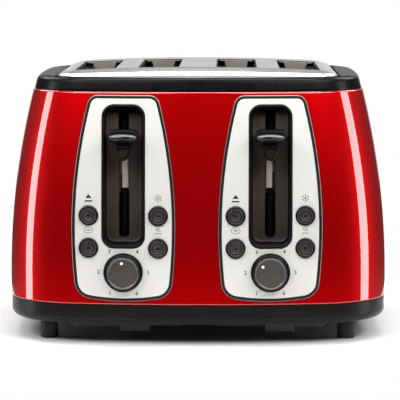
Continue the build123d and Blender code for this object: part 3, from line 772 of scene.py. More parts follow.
def make_lever(side, s, mat):
    b = Build()
    deep = lambda y: (lambda p: mod_pt(s, p[0], y, p[1]))
    n = (24, 12, 6)

    def bar(d):
        return rr_loop(0, LEVER_Z, LEVER_HW - d, LEVER_HH - d, LEVER_HH - d - 0.05, n)
    outer = []
    e = 0.8
    for k in range(6):
        t = math.pi / 2 * k / 5
        outer.append((bar(e * (1 - math.sin(t))), (lambda p, t=t: mod_pt(s, p[0], bar_y(p[0], p[1]) + e * (1 - math.cos(t)), p[1]))))
    outer += [(bar(0.0), deep(8.0)), (bar(0.0), deep(15.6)), (bar(0.3), deep(16.0))]
    front, v2 = plate(b, outer, [], 0.55, lambda p: mod_pt(s, p[0], bar_y(p[0], p[1]), p[1]), deep(16.0))
    for i, p in zip(front, v2):
        h = 0.12
        q = [Vector(mod_pt(s, p[0] + dx, bar_y(p[0] + dx, p[1] + dz), p[1] + dz)) for dx, dz in ((-h, 0), (h, 0), (0, -h), (0, h))]
        b.n[i] = (q[1] - q[0]).cross(q[3] - q[2]).normalized()
    # shield under the bar
    outer = []
    for k in range(5):
        t = math.pi / 2 * k / 4
        g = 0.6
        outer.append((shield_loop(g * (1 - math.sin(t))), (lambda p, g=g, t=t: mod_pt(s, p[0], shield_y(p[0], p[1]) + g * (1 - math.cos(t)), p[1]))))
    outer += [(shield_loop(0.0), deep(10.0)), (shield_loop(0.0), deep(15.0))]
    k0 = len(b.f)
    tongue, _ = plate(b, outer, [], 0.8, lambda p: mod_pt(s, p[0], shield_y(p[0], p[1]), p[1]), deep(15.0))
    k1 = len(b.f)
    rib = lambda hw, hh, y: (rr_loop(0, 156.8, hw + 0.7, hh, hh - 0.02, (10, 4, 2)), deep(y + 0.6))
    plate(b, [rib(4.3, 0.10, -3.3), rib(4.4, 0.28, -3.22), rib(4.5, 0.45, -3.0), rib(4.5, 0.52, -2.6), rib(4.5, 0.52, 2.0)], [], 1.0, deep(-3.3), deep(2.0))
    k2 = len(b.f)
    stem = [(rr_loop(0, 157.5, 2.7, 7.5, 0.8, (3, 3, 6)), deep(14.0)), (rr_loop(0, 157.5, 2.7, 7.5, 0.8, (3, 3, 6)), deep(23.9))]
    plate(b, stem, [], 2.0, deep(14.0), deep(23.9))
    ob = b.object("lever_" + side, "lever_" + side, ["lever_knob_" + side], mat[0], "black_gloss", sharp=60)
    ob.data.materials.append(mat[1])
    ob.data.materials.append(mat[2])
    face, tongue = set(front), set(tongue)
    # Painted shade: the bar's rim and the shield's edges are coloured near black, as a dark outline of shadow round the
    # lever.
    for p in ob.data.polygons:
        if k0 <= p.index < k1 and all(v in tongue for v in p.vertices):
            p.material_index = 1
        elif not (k1 <= p.index < k2 or all(v in face for v in p.vertices)):
            p.material_index = 2
    return ob


def make_button(name, side, s, mat):
    lx, z = BTN_AT[name]
    yp = LEAN_FRONT * lean(z) + math.sqrt(RF0 ** 2 - MOD_X ** 2) - math.sqrt(RF0 ** 2 - (s * MOD_X + lx) ** 2)
    f = -(yp - OFF_PANEL - 2.0)
    back = -(yp + 1.9)
    prof = [(0, -9.8), (1.2, -9.8), (1.5, -9.6), (1.5, -7.5), (2.4, -7.5), (2.4, back - 1.0), (8.6, back - 1.0), (8.6, back), (BTN_R, back)]
    prof += [(BTN_R, f - 0.9)] + arc_pts(BTN_R - 0.7, f - 0.7, 0.7, 10, 90, 6)
    prof += [(6.2, f), (6.0, f - 0.03), (5.85, f - 0.2), (5.75, f - 0.55), (5.6, f - 0.62), (5.45, f - 0.55), (5.35, f - 0.28), (5.15, f - 0.16)]
    prof += [(4.1, f - 0.14), (3.85, f - 0.17), (3.65, f - 0.32), (3.55, f - 0.5), (3.25, f - 0.56)]
    prof += [(2.2, f - 0.60), (2.0, f - 0.66), (1.85, f - 0.74), (1.6, f - 0.78), (0.8, f - 0.80), (0, f - 0.80)]
    b = lathe(prof, 72, wrap=lambda c, t, h: mod_pt(s, lx + c, -h, z + t))
    ob = b.object(name + "_cap_" + side, name + "_push_" + side, [name + "_button_" + side], mat[0], "black_gloss")
    ob.data.materials.append(mat[1])
    c = Vector(mod_pt(s, lx, 0.0, z)) + Vector((0, Y_SHIFT, 0))
    # Painted highlights: the grooves and steps of the button face get a lighter colour, as concentric rings of light.
    for p in ob.data.polygons:
        d = p.center / MM - c
        r = math.hypot(d.x, d.z)
        if p.center.y / MM - Y_SHIFT < mod_pt(s, lx, -f + 0.9, z)[1] and any(abs(r - q) < w for q, w in ((1.9, 0.32), (3.55, 0.34), (5.6, 0.36))):
            p.material_index = 1
    return ob


def make_knob(side, s, mat):
    prof = [(0, 6.4), (3.05, 6.4), (3.05, 2.5), (14.9, 2.5)] + arc_pts(14.9, 3.1, 0.6, -90, 0, 5)
    prof += [(15.5, 3.6)] + arc_pts(14.9, 3.7, 0.6, 0, 80, 6)
    prof += [(14.4, 4.5), (13.9, 4.62), (13.55, 4.85), (13.4, 5.3), (13.2, 7.0), (12.95, 9.3)]
    prof += arc_pts(11.95, 9.68, 1.0, 0, 95, 12)
    prof += [(11.55, 10.6), (11.2, 10.42), (10.95, 10.2), (10.75, 10.12), (10.4, 10.1), (8.0, 10.25), (5.0, 10.4), (2.5, 10.46), (0, 10.48)]
    b = lathe(prof, 128, wrap=lambda c, t, h: mod_pt(s, c, -h, KNOB_Z + t))
    return b.object("knob_" + side, "knob_" + side, ["browning_knob_" + side], mat, "black_gloss")


def make_marker(side, s, mat, deg):
    t = math.radians(deg)
    mx, mz = 8.0 * math.cos(t), 8.0 * math.sin(t)
    prof = [(0, 9.6), (1.2, 9.6), (1.2, 10.2)] + arc_pts(1.0, 10.2, 0.2, 0, 90, 4) + [(0.6, 10.44), (0, 10.46)]
    b = lathe(prof, 40, wrap=lambda c, q, h: mod_pt(s, mx + c, -h, KNOB_Z + mz + q))
    return b.object("pointer_" + side, "knob_" + side, ["knob_marker_" + side], mat, "white_mark")


def make_feet(mat):
    b = Build()
    for x in (-119.7, 119.7):
        for y in (-91.0, 91.0):
            prof = [(0, 0), (5.2, 0)] + arc_pts(5.8, 1.3, 1.3, -90, 0, 6) + [(7.1, 2.2), (7.1, 10.0), (7.1, 15.4)] + [(6.7, 16.0), (3.0, 16.0), (3.0, 19.0), (0, 19.0)]
            l = lathe(prof, 56, wrap=lambda c, q, h, x=x, y=y: (x + c, y + q, h))
            k = len(b.v)
            b.v += l.v
            b.f += [tuple(i + k for i in f) for f in l.f]
    return b.object("feet_round", "chassis", ["feet"], mat, "foot_rubber")


# ------------------------------------------------------------------ materials
class Mat:
    """Small wrapper round a node tree with one Principled shader."""

    def __init__(self, name, **sockets):
        self.m = bpy.data.materials.new(name)
        self.m.use_nodes = True
        self.t = self.m.node_tree
        self.t.nodes.clear()
        self.out = self.t.nodes.new("ShaderNodeOutputMaterial")
        self.p = self.t.nodes.new("ShaderNodeBsdfPrincipled")
        self.link(self.p.outputs["BSDF"], self.out.inputs["Surface"])
        for k, v in sockets.items():
            self.p.inputs[k.replace("_", " ")].default_value = v
        self.co = self.t.nodes.new("ShaderNodeTexCoord")

    def link(self, a, b):
        self.t.links.new(a, b)

    def node(self, kind, **kw):
        n = self.t.nodes.new("ShaderNode" + kind)
        for k, v in kw.items():
            setattr(n, k, v)
        return n

    def space(self, scale=(1, 1, 1), rot=(0, 0, 0)):
        m = self.node("Mapping")
        m.inputs["Scale"].default_value = scale
        m.inputs["Rotation"].default_value = rot
        self.link(self.co.outputs["Object"], m.inputs["Vector"])
        return m.outputs["Vector"]

    def noise(self, scale, detail=3.0, rough=0.55, stretch=(1, 1, 1), rot=(0, 0, 0), distort=0.0):
        n = self.node("TexNoise")
        n.inputs["Scale"].default_value = scale
        n.inputs["Detail"].default_value = detail
        n.inputs["Roughness"].default_value = rough
        n.inputs["Distortion"].default_value = distort
        self.link(self.space(stretch, rot), n.inputs["Vector"])
        return n.outputs["Fac"]

    def cells(self, scale, stretch=(1, 1, 1), feature="F1", out="Color"):
        n = self.node("TexVoronoi", feature=feature)
        n.inputs["Scale"].default_value = scale
        self.link(self.space(stretch), n.inputs["Vector"])
        return n.outputs[out]

    def ramp(self, fac, stops):
        n = self.node("ValToRGB")
        e = n.color_ramp.elements
        while len(e) < len(stops):
            e.new(0.5)
        for el, (pos, col) in zip(e, stops):
            el.position = pos
            el.color = col if len(col) == 4 else tuple(col) + (1.0,)
        self.link(fac, n.inputs["Fac"])
        return n.outputs["Color"]

    def range(self, fac, lo, hi, a=0.3, b=0.7):
        n = self.node("MapRange")
        n.inputs["From Min"].default_value = a
        n.inputs["From Max"].default_value = b
        n.inputs["To Min"].default_value = lo
        n.inputs["To Max"].default_value = hi
        self.link(fac, n.inputs["Value"])
        return n.outputs["Result"]

    def mix(self, fac, a, b, mode="MIX", amount=None):
        n = self.node("Mix", data_type="RGBA", blend_type=mode)
        if amount is not None:
            n.inputs["Factor"].default_value = amount
        else:
            self.link(fac, n.inputs["Factor"])
        for key, v in (("A", a), ("B", b)):
            sock = [s for s in n.inputs if s.name == key and s.type == "RGBA"][0]
            if isinstance(v, (tuple, list)):
                sock.default_value = tuple(v) + ((1.0,) if len(v) == 3 else ())
            else:
                self.link(v, sock)
        return [s for s in n.outputs if s.type == "RGBA"][0]

    def colour(self, c):
        self.link(c, self.p.inputs["Base Color"])
        return self

    def rough(self, r):
        self.link(r, self.p.inputs["Roughness"])
        return self

    def bump(self, h, strength=0.2, dist=0.0002, coat=False):
        n = self.node("Bump")
        n.inputs["Strength"].default_value = strength
        n.inputs["Distance"].default_value = dist
        self.link(h, n.inputs["Height"])
        self.link(n.outputs["Normal"], self.p.inputs["Normal"])
        if coat:
            self.link(n.outputs["Normal"], self.p.inputs["Coat Normal"])
        return self


def mat_red():
    m = Mat("red_enamel", Metallic=0.80, Specular_IOR_Level=0.0, Coat_Weight=1.0, Coat_Roughness=0.02, Coat_IOR=1.9)
    flake = m.cells(2600.0)
    drift = m.noise(14.0, 2.0)
    base = m.ramp(drift, [(0.3, (0.50, 0.000, 0.0012)), (0.7, (0.54, 0.0004, 0.0020))])
    n = m.node("SeparateColor")
    m.link(flake, n.inputs["Color"])
    spark = m.range(n.outputs["Red"], 0.86, 1.10, 0.0, 1.0)
    m.colour(m.mix(None, base, spark, mode="MULTIPLY", amount=1.0))
    m.rough(m.range(m.noise(320.0, 2.0), 0.41, 0.46))
    peel = m.noise(210.0, 1.5, 0.4)
    m.bump(peel, 0.05, 0.00012, coat=False)
    return m.m


def mat_steel(name, base, metallic, r0, r1, lines, drift_amt=0.03, grit=1.0):
    """Satin steel with fine grinding lines; lines = stretch of the line noise."""
    m = Mat(name, Metallic=metallic, Specular_IOR_Level=0.5)
    grain = m.noise(1.0, 2.0, 0.6, stretch=lines)
    cloud = m.noise(22.0, 2.0)
    c0 = tuple(v * (1 - drift_amt) for v in base)
    c1 = tuple(min(v * (1 + drift_amt), 1.0) for v in base)
    col = m.ramp(cloud, [(0.35, c0), (0.65, c1)])
    fine = m.range(grain, 1 - 0.05 * grit, 1 + 0.03 * grit, 0.3, 0.7)
    m.colour(m.mix(None, col, fine, mode="MULTIPLY", amount=1.0))
    m.rough(m.range(grain, r0, r1))
    m.bump(grain, 0.05 * grit, 0.00008)
    return m.m


def mat_plastic(name, base, r0, r1, grain=1500.0, strength=0.12, dist=0.0001, coat=0.0, spec=0.5, tint=None):
    m = Mat(name, Metallic=0.0, Specular_IOR_Level=spec, Coat_Weight=coat, Coat_Roughness=0.06)
    g = m.noise(grain, 3.0, 0.6)
    cloud = m.noise(45.0, 3.0)
    c1 = tint or tuple(v * 1.25 for v in base)
    m.colour(m.mix(m.range(cloud, 0.0, 1.0), base, c1))
    m.rough(m.range(m.noise(70.0, 2.0), r0, r1))
    m.bump(g, strength, dist)
    return m.m


def mat_sheet():
    m = Mat("sheet_steel", Metallic=1.0, Specular_IOR_Level=0.5)
    n = m.node("SeparateColor")
    m.link(m.cells(160.0), n.inputs["Color"])
    spangle = m.ramp(n.outputs["Red"], [(0.0, (0.50, 0.51, 0.52)), (0.5, (0.60, 0.61, 0.62)), (1.0, (0.68, 0.69, 0.69))])
    m.colour(spangle)
    m.rough(m.range(m.noise(120.0, 3.0), 0.3, 0.45))
    m.bump(m.noise(700.0, 2.0), 0.08, 0.0001)
    return m.m


def mat_wire():
    m = Mat("rod_steel", Metallic=1.0, Specular_IOR_Level=0.5)
    draw = m.noise(900.0, 2.0)
    m.colour(m.ramp(draw, [(0.3, (0.52, 0.52, 0.53)), (0.7, (0.68, 0.68, 0.68))]))
    m.rough(m.range(m.noise(300.0, 2.0), 0.22, 0.36))
    m.bump(draw, 0.06, 0.00006)
    return m.m


def mat_rubber():
    m = Mat("foot_rubber", Specular_IOR_Level=0.35)
    g = m.noise(2200.0, 3.0)
    m.colour(m.ramp(m.noise(160.0, 3.0), [(0.3, (0.012, 0.011, 0.011)), (0.7, (0.021, 0.019, 0.018))]))
    m.rough(m.range(g, 0.5, 0.66))
    m.bump(g, 0.2, 0.0001)
    return m.m


def mat_mica():
    m = Mat("mica", Specular_IOR_Level=0.5)
    n = m.node("SeparateColor")
    m.link(m.cells(240.0, stretch=(1, 1, 0.6)), n.inputs["Color"])
    fl = m.ramp(n.outputs["Red"], [(0.0, (0.33, 0.27, 0.19)), (0.5, (0.45, 0.38, 0.28)), (1.0, (0.58, 0.52, 0.41))])
    m.colour(m.mix(m.range(m.noise(60.0, 3.0), 0.0, 0.5), fl, (0.30, 0.24, 0.17)))
    m.rough(m.range(m.noise(380.0, 2.0), 0.3, 0.55))
    m.bump(m.noise(500.0, 3.0), 0.15, 0.0001)
    return m.m


def mat_alloy():
    m = Mat("heater_alloy", Metallic=0.85, Specular_IOR_Level=0.5)
    m.colour(m.ramp(m.noise(90.0, 4.0), [(0.25, (0.11, 0.095, 0.085)), (0.55, (0.20, 0.175, 0.16)), (0.8, (0.26, 0.20, 0.16))]))
    m.rough(m.range(m.noise(260.0, 3.0), 0.38, 0.6))
    m.bump(m.noise(1200.0, 2.0), 0.1, 0.00008)
    return m.m


def mat_board():
    m = Mat("board", Specular_IOR_Level=0.5)
    w = m.node("TexWave", wave_type="BANDS", bands_direction="X")
    w.inputs["Scale"].default_value = 420.0
    w.inputs["Distortion"].default_value = 0.6
    m.link(m.space((1, 1, 1)), w.inputs["Vector"])
    m.colour(m.mix(m.range(w.outputs["Fac"], 0.0, 0.6, 0.0, 1.0), (0.16, 0.105, 0.05), (0.23, 0.16, 0.085)))
    m.rough(m.range(m.noise(200.0, 2.0), 0.4, 0.55))
    m.bump(w.outputs["Fac"], 0.06, 0.00005)
    return m.m


def mat_iron():
    m = Mat("magnet_iron", Metallic=0.7, Specular_IOR_Level=0.5)
    lam = m.noise(1.0, 1.0, stretch=(1800, 60, 60))
    m.colour(m.ramp(lam, [(0.3, (0.09, 0.085, 0.08)), (0.7, (0.20, 0.19, 0.18))]))
    m.rough(m.range(m.noise(300.0, 2.0), 0.4, 0.6))
    m.bump(lam, 0.15, 0.0001)
    return m.m


def mat_white():
    m = Mat("white_mark", Specular_IOR_Level=0.4)
    m.colour(m.ramp(m.noise(900.0, 2.0), [(0.3, (0.86, 0.86, 0.84)), (0.7, (0.93, 0.93, 0.92))]))
    m.rough(m.range(m.noise(1400.0, 2.0), 0.4, 0.55))
    m.bump(m.noise(1800.0, 2.0), 0.08, 0.00005)
    return m.m


def mat_ink(name, base):
    m = Mat(name, Specular_IOR_Level=0.2)
    m.colour(m.ramp(m.noise(1600.0, 2.0), [(0.3, base), (0.7, tuple(v * 1.3 for v in base))]))
    m.rough(m.range(m.noise(900.0, 2.0), 0.5, 0.7))
    m.bump(m.noise(2400.0, 2.0), 0.08, 0.00003)
    return m.m


def mat_floor():
    m = Mat("floor_pale", Specular_IOR_Level=0.15)
    m.colour(m.ramp(m.noise(3.0, 3.0), [(0.3, (0.66, 0.66, 0.66)), (0.7, (0.68, 0.68, 0.68))]))
    m.rough(m.range(m.noise(40.0, 2.0), 0.6, 0.75))
    return m.m


# ------------------------------------------------------------------ marks printed on the panels
OFF_INK = OFF_PANEL + 0.035


def ink(b, s, vs, fs):
    """One printed mark with a thin closed body: points in the module's (x, z), faces looking out."""
    top = b.add([face_pt(s, x, z, OFF_INK) for x, z in vs])
    low = b.add([face_pt(s, x, z, OFF_INK - 0.03) for x, z in vs])
    edges = [(f[i], f[(i + 1) % len(f)]) for f in fs for i in range(len(f))]
    known = set(edges)
    for f in fs:
        b.f.append(tuple(top[i] for i in f))
        b.f.append(tuple(low[i] for i in reversed(f)))
    for i, j in edges:
        if (j, i) not in known:
            b.f.append((top[j], top[i], low[i], low[j]))


def flat_marks(name, side, s, polys, mat):
    """Thin printed marks: polys are (outer loop, holes) in the module's (x, z), laid on the panel."""
    b = Build()
    for outer, holes in polys:
        v2, faces, _ = fill(outer, holes, 50.0)
        ink(b, s, v2, [tuple(f) for f in faces])
    return b.object(name + "_" + side, "chassis", (), mat, "trim_dark", sharp=30.0)


def bar_poly(x0, z0, x1, z1, w):
    dx, dz = x1 - x0, z1 - z0
    l = math.hypot(dx, dz)
    nx, nz = -dz / l * w / 2, dx / l * w / 2
    loop = [(x0 - nx, z0 - nz), (x1 - nx, z1 - nz)]
    a = math.atan2(-nz, -nx)
    loop += [(x1 + w / 2 * math.cos(a + math.pi * k / 6), z1 + w / 2 * math.sin(a + math.pi * k / 6)) for k in range(1, 6)]
    loop += [(x1 + nx, z1 + nz), (x0 + nx, z0 + nz)]
    loop += [(x0 + w / 2 * math.cos(a + math.pi + math.pi * k / 6), z0 + w / 2 * math.sin(a + math.pi + math.pi * k / 6)) for k in range(1, 6)]
    return loop


def stroke_poly(pts, w):
    """One closed ribbon of width w along a polyline."""
    left, right = [], []
    for i, (x, z) in enumerate(pts):
        p, q = pts[max(i - 1, 0)], pts[min(i + 1, len(pts) - 1)]
        dx, dz = q[0] - p[0], q[1] - p[1]
        l = math.hypot(dx, dz)
        nx, nz = -dz / l * w / 2, dx / l * w / 2
        left.append((x + nx, z + nz))
        right.append((x - nx, z - nz))
    return right + left[::-1]


def ellipse_loop(cx, cz, a, b, n=56):
    return [(cx + a * math.cos(2 * math.pi * i / n), cz + b * math.sin(2 * math.pi * i / n)) for i in range(n)]


def digit_mesh(text, size):
    cu = bpy.data.curves.new("digit", "FONT")
    cu.body = text
    cu.size = size
    cu.align_x = "CENTER"
    cu.align_y = "CENTER"
    cu.resolution_u = 4
    cu.offset = 0.012 * size
    ob = bpy.data.objects.new("digit", cu)
    bpy.context.scene.collection.objects.link(ob)
    bpy.context.view_layer.update()
    dg = bpy.context.evaluated_depsgraph_get()
    me = bpy.data.meshes.new_from_object(ob.evaluated_get(dg))
    vs = [(v.co.x, v.co.y) for v in me.vertices]
    fs = [tuple(p.vertices) for p in me.polygons]
    bpy.data.objects.remove(ob)
    bpy.data.curves.remove(cu)
    bpy.data.meshes.remove(me)
    cx = (min(v[0] for v in vs) + max(v[0] for v in vs)) / 2
    cz = (min(v[1] for v in vs) + max(v[1] for v in vs)) / 2
    return [(x - cx, z - cz) for x, z in vs], fs


def make_marks(side, s, dark, pale):
    # dial numbers
    b = Build()
    for k, deg in enumerate((237, 180, 124, 56, 0, -57)):
        vs, fs = digit_mesh(str(k + 1), 4.4)
        r = 19.7
        cx, cz = r * math.cos(math.radians(deg)), KNOB_Z + r * math.sin(math.radians(deg))
        out = []
        for f in fs:
            area = sum(vs[f[i]][0] * vs[f[(i + 1) % len(f)]][1] - vs[f[(i + 1) % len(f)]][0] * vs[f[i]][1] for i in range(len(f)))
            out.append(tuple(f if area > 0 else f[::-1]))
        ink(b, s, [(cx + x, cz + z) for x, z in vs], out)
    b.object("dial_numbers_" + side, "chassis", (), dark, "trim_dark", sharp=30.0)
    # eject: triangle over a bar
    x = -BTN_DX
    tri = [(x - 2.5, 116.5), (x + 2.5, 116.5), (x, 119.7)]
    flat_marks("mark_eject", side, s, [(tri, []), (bar_poly(x - 2.5, 114.3, x + 2.5, 114.3, 1.15), [])], dark)
    # bread ring with a dash
    z = 91.4
    ring = ellipse_loop(x, z, 3.7, 2.6)
    hole = ellipse_loop(x, z, 3.2, 2.1)
    flat_marks("mark_bagel", side, s, [(ring, [hole])], pale)
    flat_marks("mark_bagel_dash", side, s, [(bar_poly(x - 1.25, z + 0.1, x + 1.25, z + 0.1, 0.75), [])], dark)
    # snow crystal, one outline
    x, z = BTN_DX, 116.7
    polys = []
    for k in range(6):
        a = math.radians(90 + 60 * k)
        c, t = math.cos(a), math.sin(a)
        polys.append((bar_poly(x + 0.36 * c, z + 0.36 * t, x + 2.9 * c, z + 2.9 * t, 0.42), []))
        for sg in (-1, 1):
            d = a + sg * math.radians(52)
            px, pz = x + 1.75 * c, z + 1.75 * t
            polys.append((bar_poly(px + 0.28 * math.cos(d), pz + 0.28 * math.sin(d), px + 1.1 * math.cos(d), pz + 1.1 * math.sin(d), 0.36), []))
    flat_marks("mark_frozen", side, s, polys, pale)
    # warm waves over a slice line
    z = 91.2
    polys = []
    for dx in (-1.3, 0.0, 1.3):
        pts = [(x + dx + 0.42 * math.sin(2 * math.pi * t / 14 * 1.1), z - 0.6 + 2.9 * t / 14) for t in range(15)]
        polys.append((stroke_poly(pts, 0.5), []))
    polys.append((bar_poly(x - 2.6, z - 2.0, x + 2.6, z - 2.0, 0.6), []))
    flat_marks("mark_reheat", side, s, polys, pale)


# ------------------------------------------------------------------ assembly of looks
RED = mat_red()
PANEL = mat_steel("panel_satin_steel", (0.83, 0.815, 0.785), 0.22, 0.40, 0.46, (60, 60, 2600), 0.01, 0.5)
PLATE = mat_steel("plate_satin_steel", (0.70, 0.70, 0.695), 0.86, 0.20, 0.26, (50, 2600, 50), 0.01, 0.5)
PLATE_LIP = mat_steel("plate_lip_steel", (0.70, 0.70, 0.695), 0.86, 0.28, 0.32, (260, 260, 260), 0.01, 0.08)
# Painted shade in the slots: a near-black lip, and a dimmed beige copy of the plate steel for the far end.
SLOT = mat_plastic("slot_lip_painted_shade", (0.0085, 0.0080, 0.0075), 0.45, 0.55, 1300.0, 0.10, spec=0.10)
SLOT_END_PAINTED_SHADE = mat_plastic("slot_end_painted_shade", (0.17, 0.155, 0.132), 0.45, 0.55, 900.0, 0.10, spec=0.2)
TRAY = mat_steel("tray_sheet", (0.055, 0.052, 0.050), 0.5, 0.38, 0.5, (60, 2200, 60))
COLLAR = mat_plastic("collar_black", (0.0038, 0.0041, 0.0047), 0.24, 0.32, 1400.0, 0.10, spec=0.11)
BASE = mat_plastic("base_black", (0.0055, 0.0043, 0.0037), 0.28, 0.36, 1300.0, 0.14, spec=0.17)
TRIM = mat_plastic("trim_dark", (0.014, 0.014, 0.0125), 0.30, 0.38, 1500.0, 0.06, spec=0.25)
# Painted highlight for the trim's outer edge.
TRIM_EDGE_PAINTED_HIGHLIGHT = mat_steel("trim_edge_painted_highlight", (0.34, 0.34, 0.33), 0.5, 0.34, 0.44, (900, 900, 900))
WELL = mat_plastic("well_black", (0.008, 0.0072, 0.0068), 0.20, 0.28, 1200.0, 0.03, spec=0.15)
WELL_BED = mat_plastic("well_bed", (0.066, 0.053, 0.047), 0.36, 0.44, 1300.0, 0.06, spec=0.2)
LEVER = mat_plastic("lever_black", (0.008, 0.008, 0.010), 0.12, 0.18, 1200.0, 0.02, coat=0.6)
SHIELD = mat_plastic("lever_shield", (0.0110, 0.0060, 0.0052), 0.20, 0.28, 1300.0, 0.03, spec=0.26)
# Painted shade along the lever's outline.
LEVER_RIM_PAINTED_SHADE = mat_plastic("lever_rim_painted_shade", (0.0030, 0.0026, 0.0025), 0.34, 0.42, 1300.0, 0.05, spec=0.10)
BUTTON = mat_plastic("button_charcoal", (0.0115, 0.0092, 0.0086), 0.24, 0.32, 1500.0, 0.05, spec=0.25)
# Painted highlight rings for the button grooves.
BUTTON_GROOVE_PAINTED_HIGHLIGHT = mat_plastic("button_groove_painted_highlight", (0.085, 0.078, 0.074), 0.22, 0.30, 1500.0, 0.04)
KNOB = mat_plastic("knob_black", (0.006, 0.006, 0.006), 0.22, 0.30, 1500.0, 0.04, spec=0.15)
# Painted highlight ring for the knob cap's bevel.
KNOB_BEVEL_PAINTED_HIGHLIGHT = mat_steel("knob_bevel_painted_highlight", (0.20, 0.195, 0.19), 0.6, 0.26, 0.36, (800, 800, 800))
CAP = mat_plastic("knob_cap", (0.055, 0.047, 0.043), 0.34, 0.42, 1700.0, 0.10)
SHEET = mat_sheet()
WIRE = mat_wire()
RUBBER = mat_rubber()
MICA = mat_mica()
ALLOY = mat_alloy()
BOARD = mat_board()
SWITCH = mat_plastic("switch_plastic", (0.030, 0.028, 0.027), 0.4, 0.55, 1600.0, 0.1)
IRON = mat_iron()
WHITE = mat_white()
INK = mat_ink("ink_dark", (0.030, 0.030, 0.030))
INK_PALE = mat_ink("ink_grey", (0.20, 0.20, 0.20))
# Painted shade: dark steel for the guide rods and springs where they show behind the lever slits.
ROD_PAINTED_SHADE = mat_steel("rod_painted_shade", (0.030, 0.029, 0.028), 0.6, 0.22, 0.34, (700, 700, 60))
# Painted shade: darkened sheet for the front chassis plate where it shows behind the lever slits.
FRAME_PAINTED_SHADE = mat_steel("frame_painted_shade_sheet", (0.10, 0.098, 0.095), 0.7, 0.40, 0.52, (60, 60, 1800))
CARRIAGE = mat_steel("carriage_sheet", (0.74, 0.65, 0.54), 0.30, 0.38, 0.5, (60, 60, 2200))

make_shell(RED)
make_collar(COLLAR)
make_top_plate((PLATE, SLOT, SLOT_END_PAINTED_SHADE, PLATE_LIP))
make_feet(RUBBER)


def make_spring(side, s, mat):
    """Coil spring between the carriage lug and the top bracket."""
    cx, cy, _ = mod_pt(s, 0.0, 31.0, 0.0)
    cx, coil_r, wire_r, z0, z1, turns, step, ring = cx - 14.0, 3.3, 0.6, 141.0, 193.0, 16, 24, 8
    pitch = (z1 - z0) / turns
    b, loops, mids = Build(), [], []
    for i in range(turns * step + 1):
        a = 2 * math.pi * i / step
        out = Vector((math.cos(a), math.sin(a), 0.0))
        along = Vector((-coil_r * math.sin(a), coil_r * math.cos(a), pitch / (2 * math.pi))).normalized()
        side_on = along.cross(out)
        c = Vector((cx, cy, z0 + pitch * i / step)) + out * coil_r
        mids.append(c)
        loops.append(b.add([c + out * (wire_r * math.cos(2 * math.pi * k / ring)) + side_on * (wire_r * math.sin(2 * math.pi * k / ring)) for k in range(ring)]))
    for lo, hi in zip(loops, loops[1:]):
        b.strip(lo, hi)
    b.fan(loops[0], mids[0], flip=True)
    b.fan(loops[-1], mids[-1])
    ob = b.object("spring_" + side, None, ["lift_spring_" + side], mat, "rod_steel", sharp=60.0)
    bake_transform(ob)


for side, s in SIDES.items():
    make_spring(side, s, ROD_PAINTED_SHADE)
    make_panel(side, s, PANEL)
    make_trim(side, s, (TRIM, TRIM_EDGE_PAINTED_HIGHLIGHT))
    make_well(side, s, (WELL, WELL_BED))
    make_lever(side, s, (LEVER, SHIELD, LEVER_RIM_PAINTED_SHADE))
    for name in BTN_AT:
        make_button(name, side, s, (BUTTON, BUTTON_GROOVE_PAINTED_HIGHLIGHT))
    knob = make_knob(side, s, KNOB)
    knob.data.materials.append(CAP)
    knob.data.materials.append(KNOB_BEVEL_PAINTED_HIGHLIGHT)
    c = Vector(mod_pt(s, 0.0, 0.0, KNOB_Z)) + Vector((0, Y_SHIFT, 0))
    out = Vector(mod_pt(s, 0.0, -1.0, KNOB_Z)) + Vector((0, Y_SHIFT, 0)) - c
    # The cap's face gets its own brown-grey; the bevel round the cap's edge gets a lighter steel, as a painted
    # highlight ring.
    for p in knob.data.polygons:
        d = p.center / MM - c
        h = d.dot(out)
        r = (d - out * h).length
        if h > 9.9 and r < 10.9:
            p.material_index = 1
        elif h > 10.2 and 11.25 < r < 12.35:
            p.material_index = 2
    make_marker(side, s, WHITE, 97.0 if side == "left" else 138.0)
    make_marks(side, s, INK, INK_PALE)

FINISH = {"base_pan": BASE, "tray_rails": BASE, "cord_gland": RUBBER, "base_screws": WIRE, "terminal_block": SWITCH,
          "crumb_tray": TRAY, "carriage": CARRIAGE, "bread_racks": WIRE, "guide_rod": ROD_PAINTED_SHADE, "lift_spring": ROD_PAINTED_SHADE, "guards": WIRE,
          "browning_shaft": WIRE, "browning_pot": SWITCH, "control_board": BOARD, "tact_switches": SWITCH, "electromagnet": IRON,
          "mica_cards": MICA, "heating_ribbon": ALLOY, "front_chassis_plate": FRAME_PAINTED_SHADE, "rear_chassis_plate": SHEET, "reflectors": SHEET,
          "outer_shell": RED, "top_collar": COLLAR, "top_plate": PLATE, "feet": RUBBER, "control_panel": PANEL, "panel_trim": TRIM,
          "lever_well": WELL, "lever_knob": LEVER, "browning_knob": KNOB, "knob_marker": WHITE, "cancel_button": BUTTON,
          "frozen_button": BUTTON, "bagel_button": BUTTON, "reheat_button": BUTTON}
for name, ob in NODES.items():
    key = max((k for k in FINISH if name.startswith(k)), key=len)
    ob.data.materials.clear()
    ob.data.materials.append(FINISH[key])

# ------------------------------------------------------------------ stage, light, camera
floor_me = bpy.data.meshes.new("floor")
R_FLOOR, Y_FLOOR, NF = 0.31, 0.0, 96
fv = [(0.0, Y_FLOOR, 0.0)] + [(R_FLOOR * math.cos(2 * math.pi * i / NF), Y_FLOOR + R_FLOOR * math.sin(2 * math.pi * i / NF), 0.0) for i in range(NF)]
floor_me.from_pydata(fv, [], [(0, 1 + i, 1 + (i + 1) % NF) for i in range(NF)])
floor_me.update()
floor = bpy.data.objects.new("floor", floor_me)
bpy.context.scene.collection.objects.link(floor)
floor_me.materials.append(mat_floor())


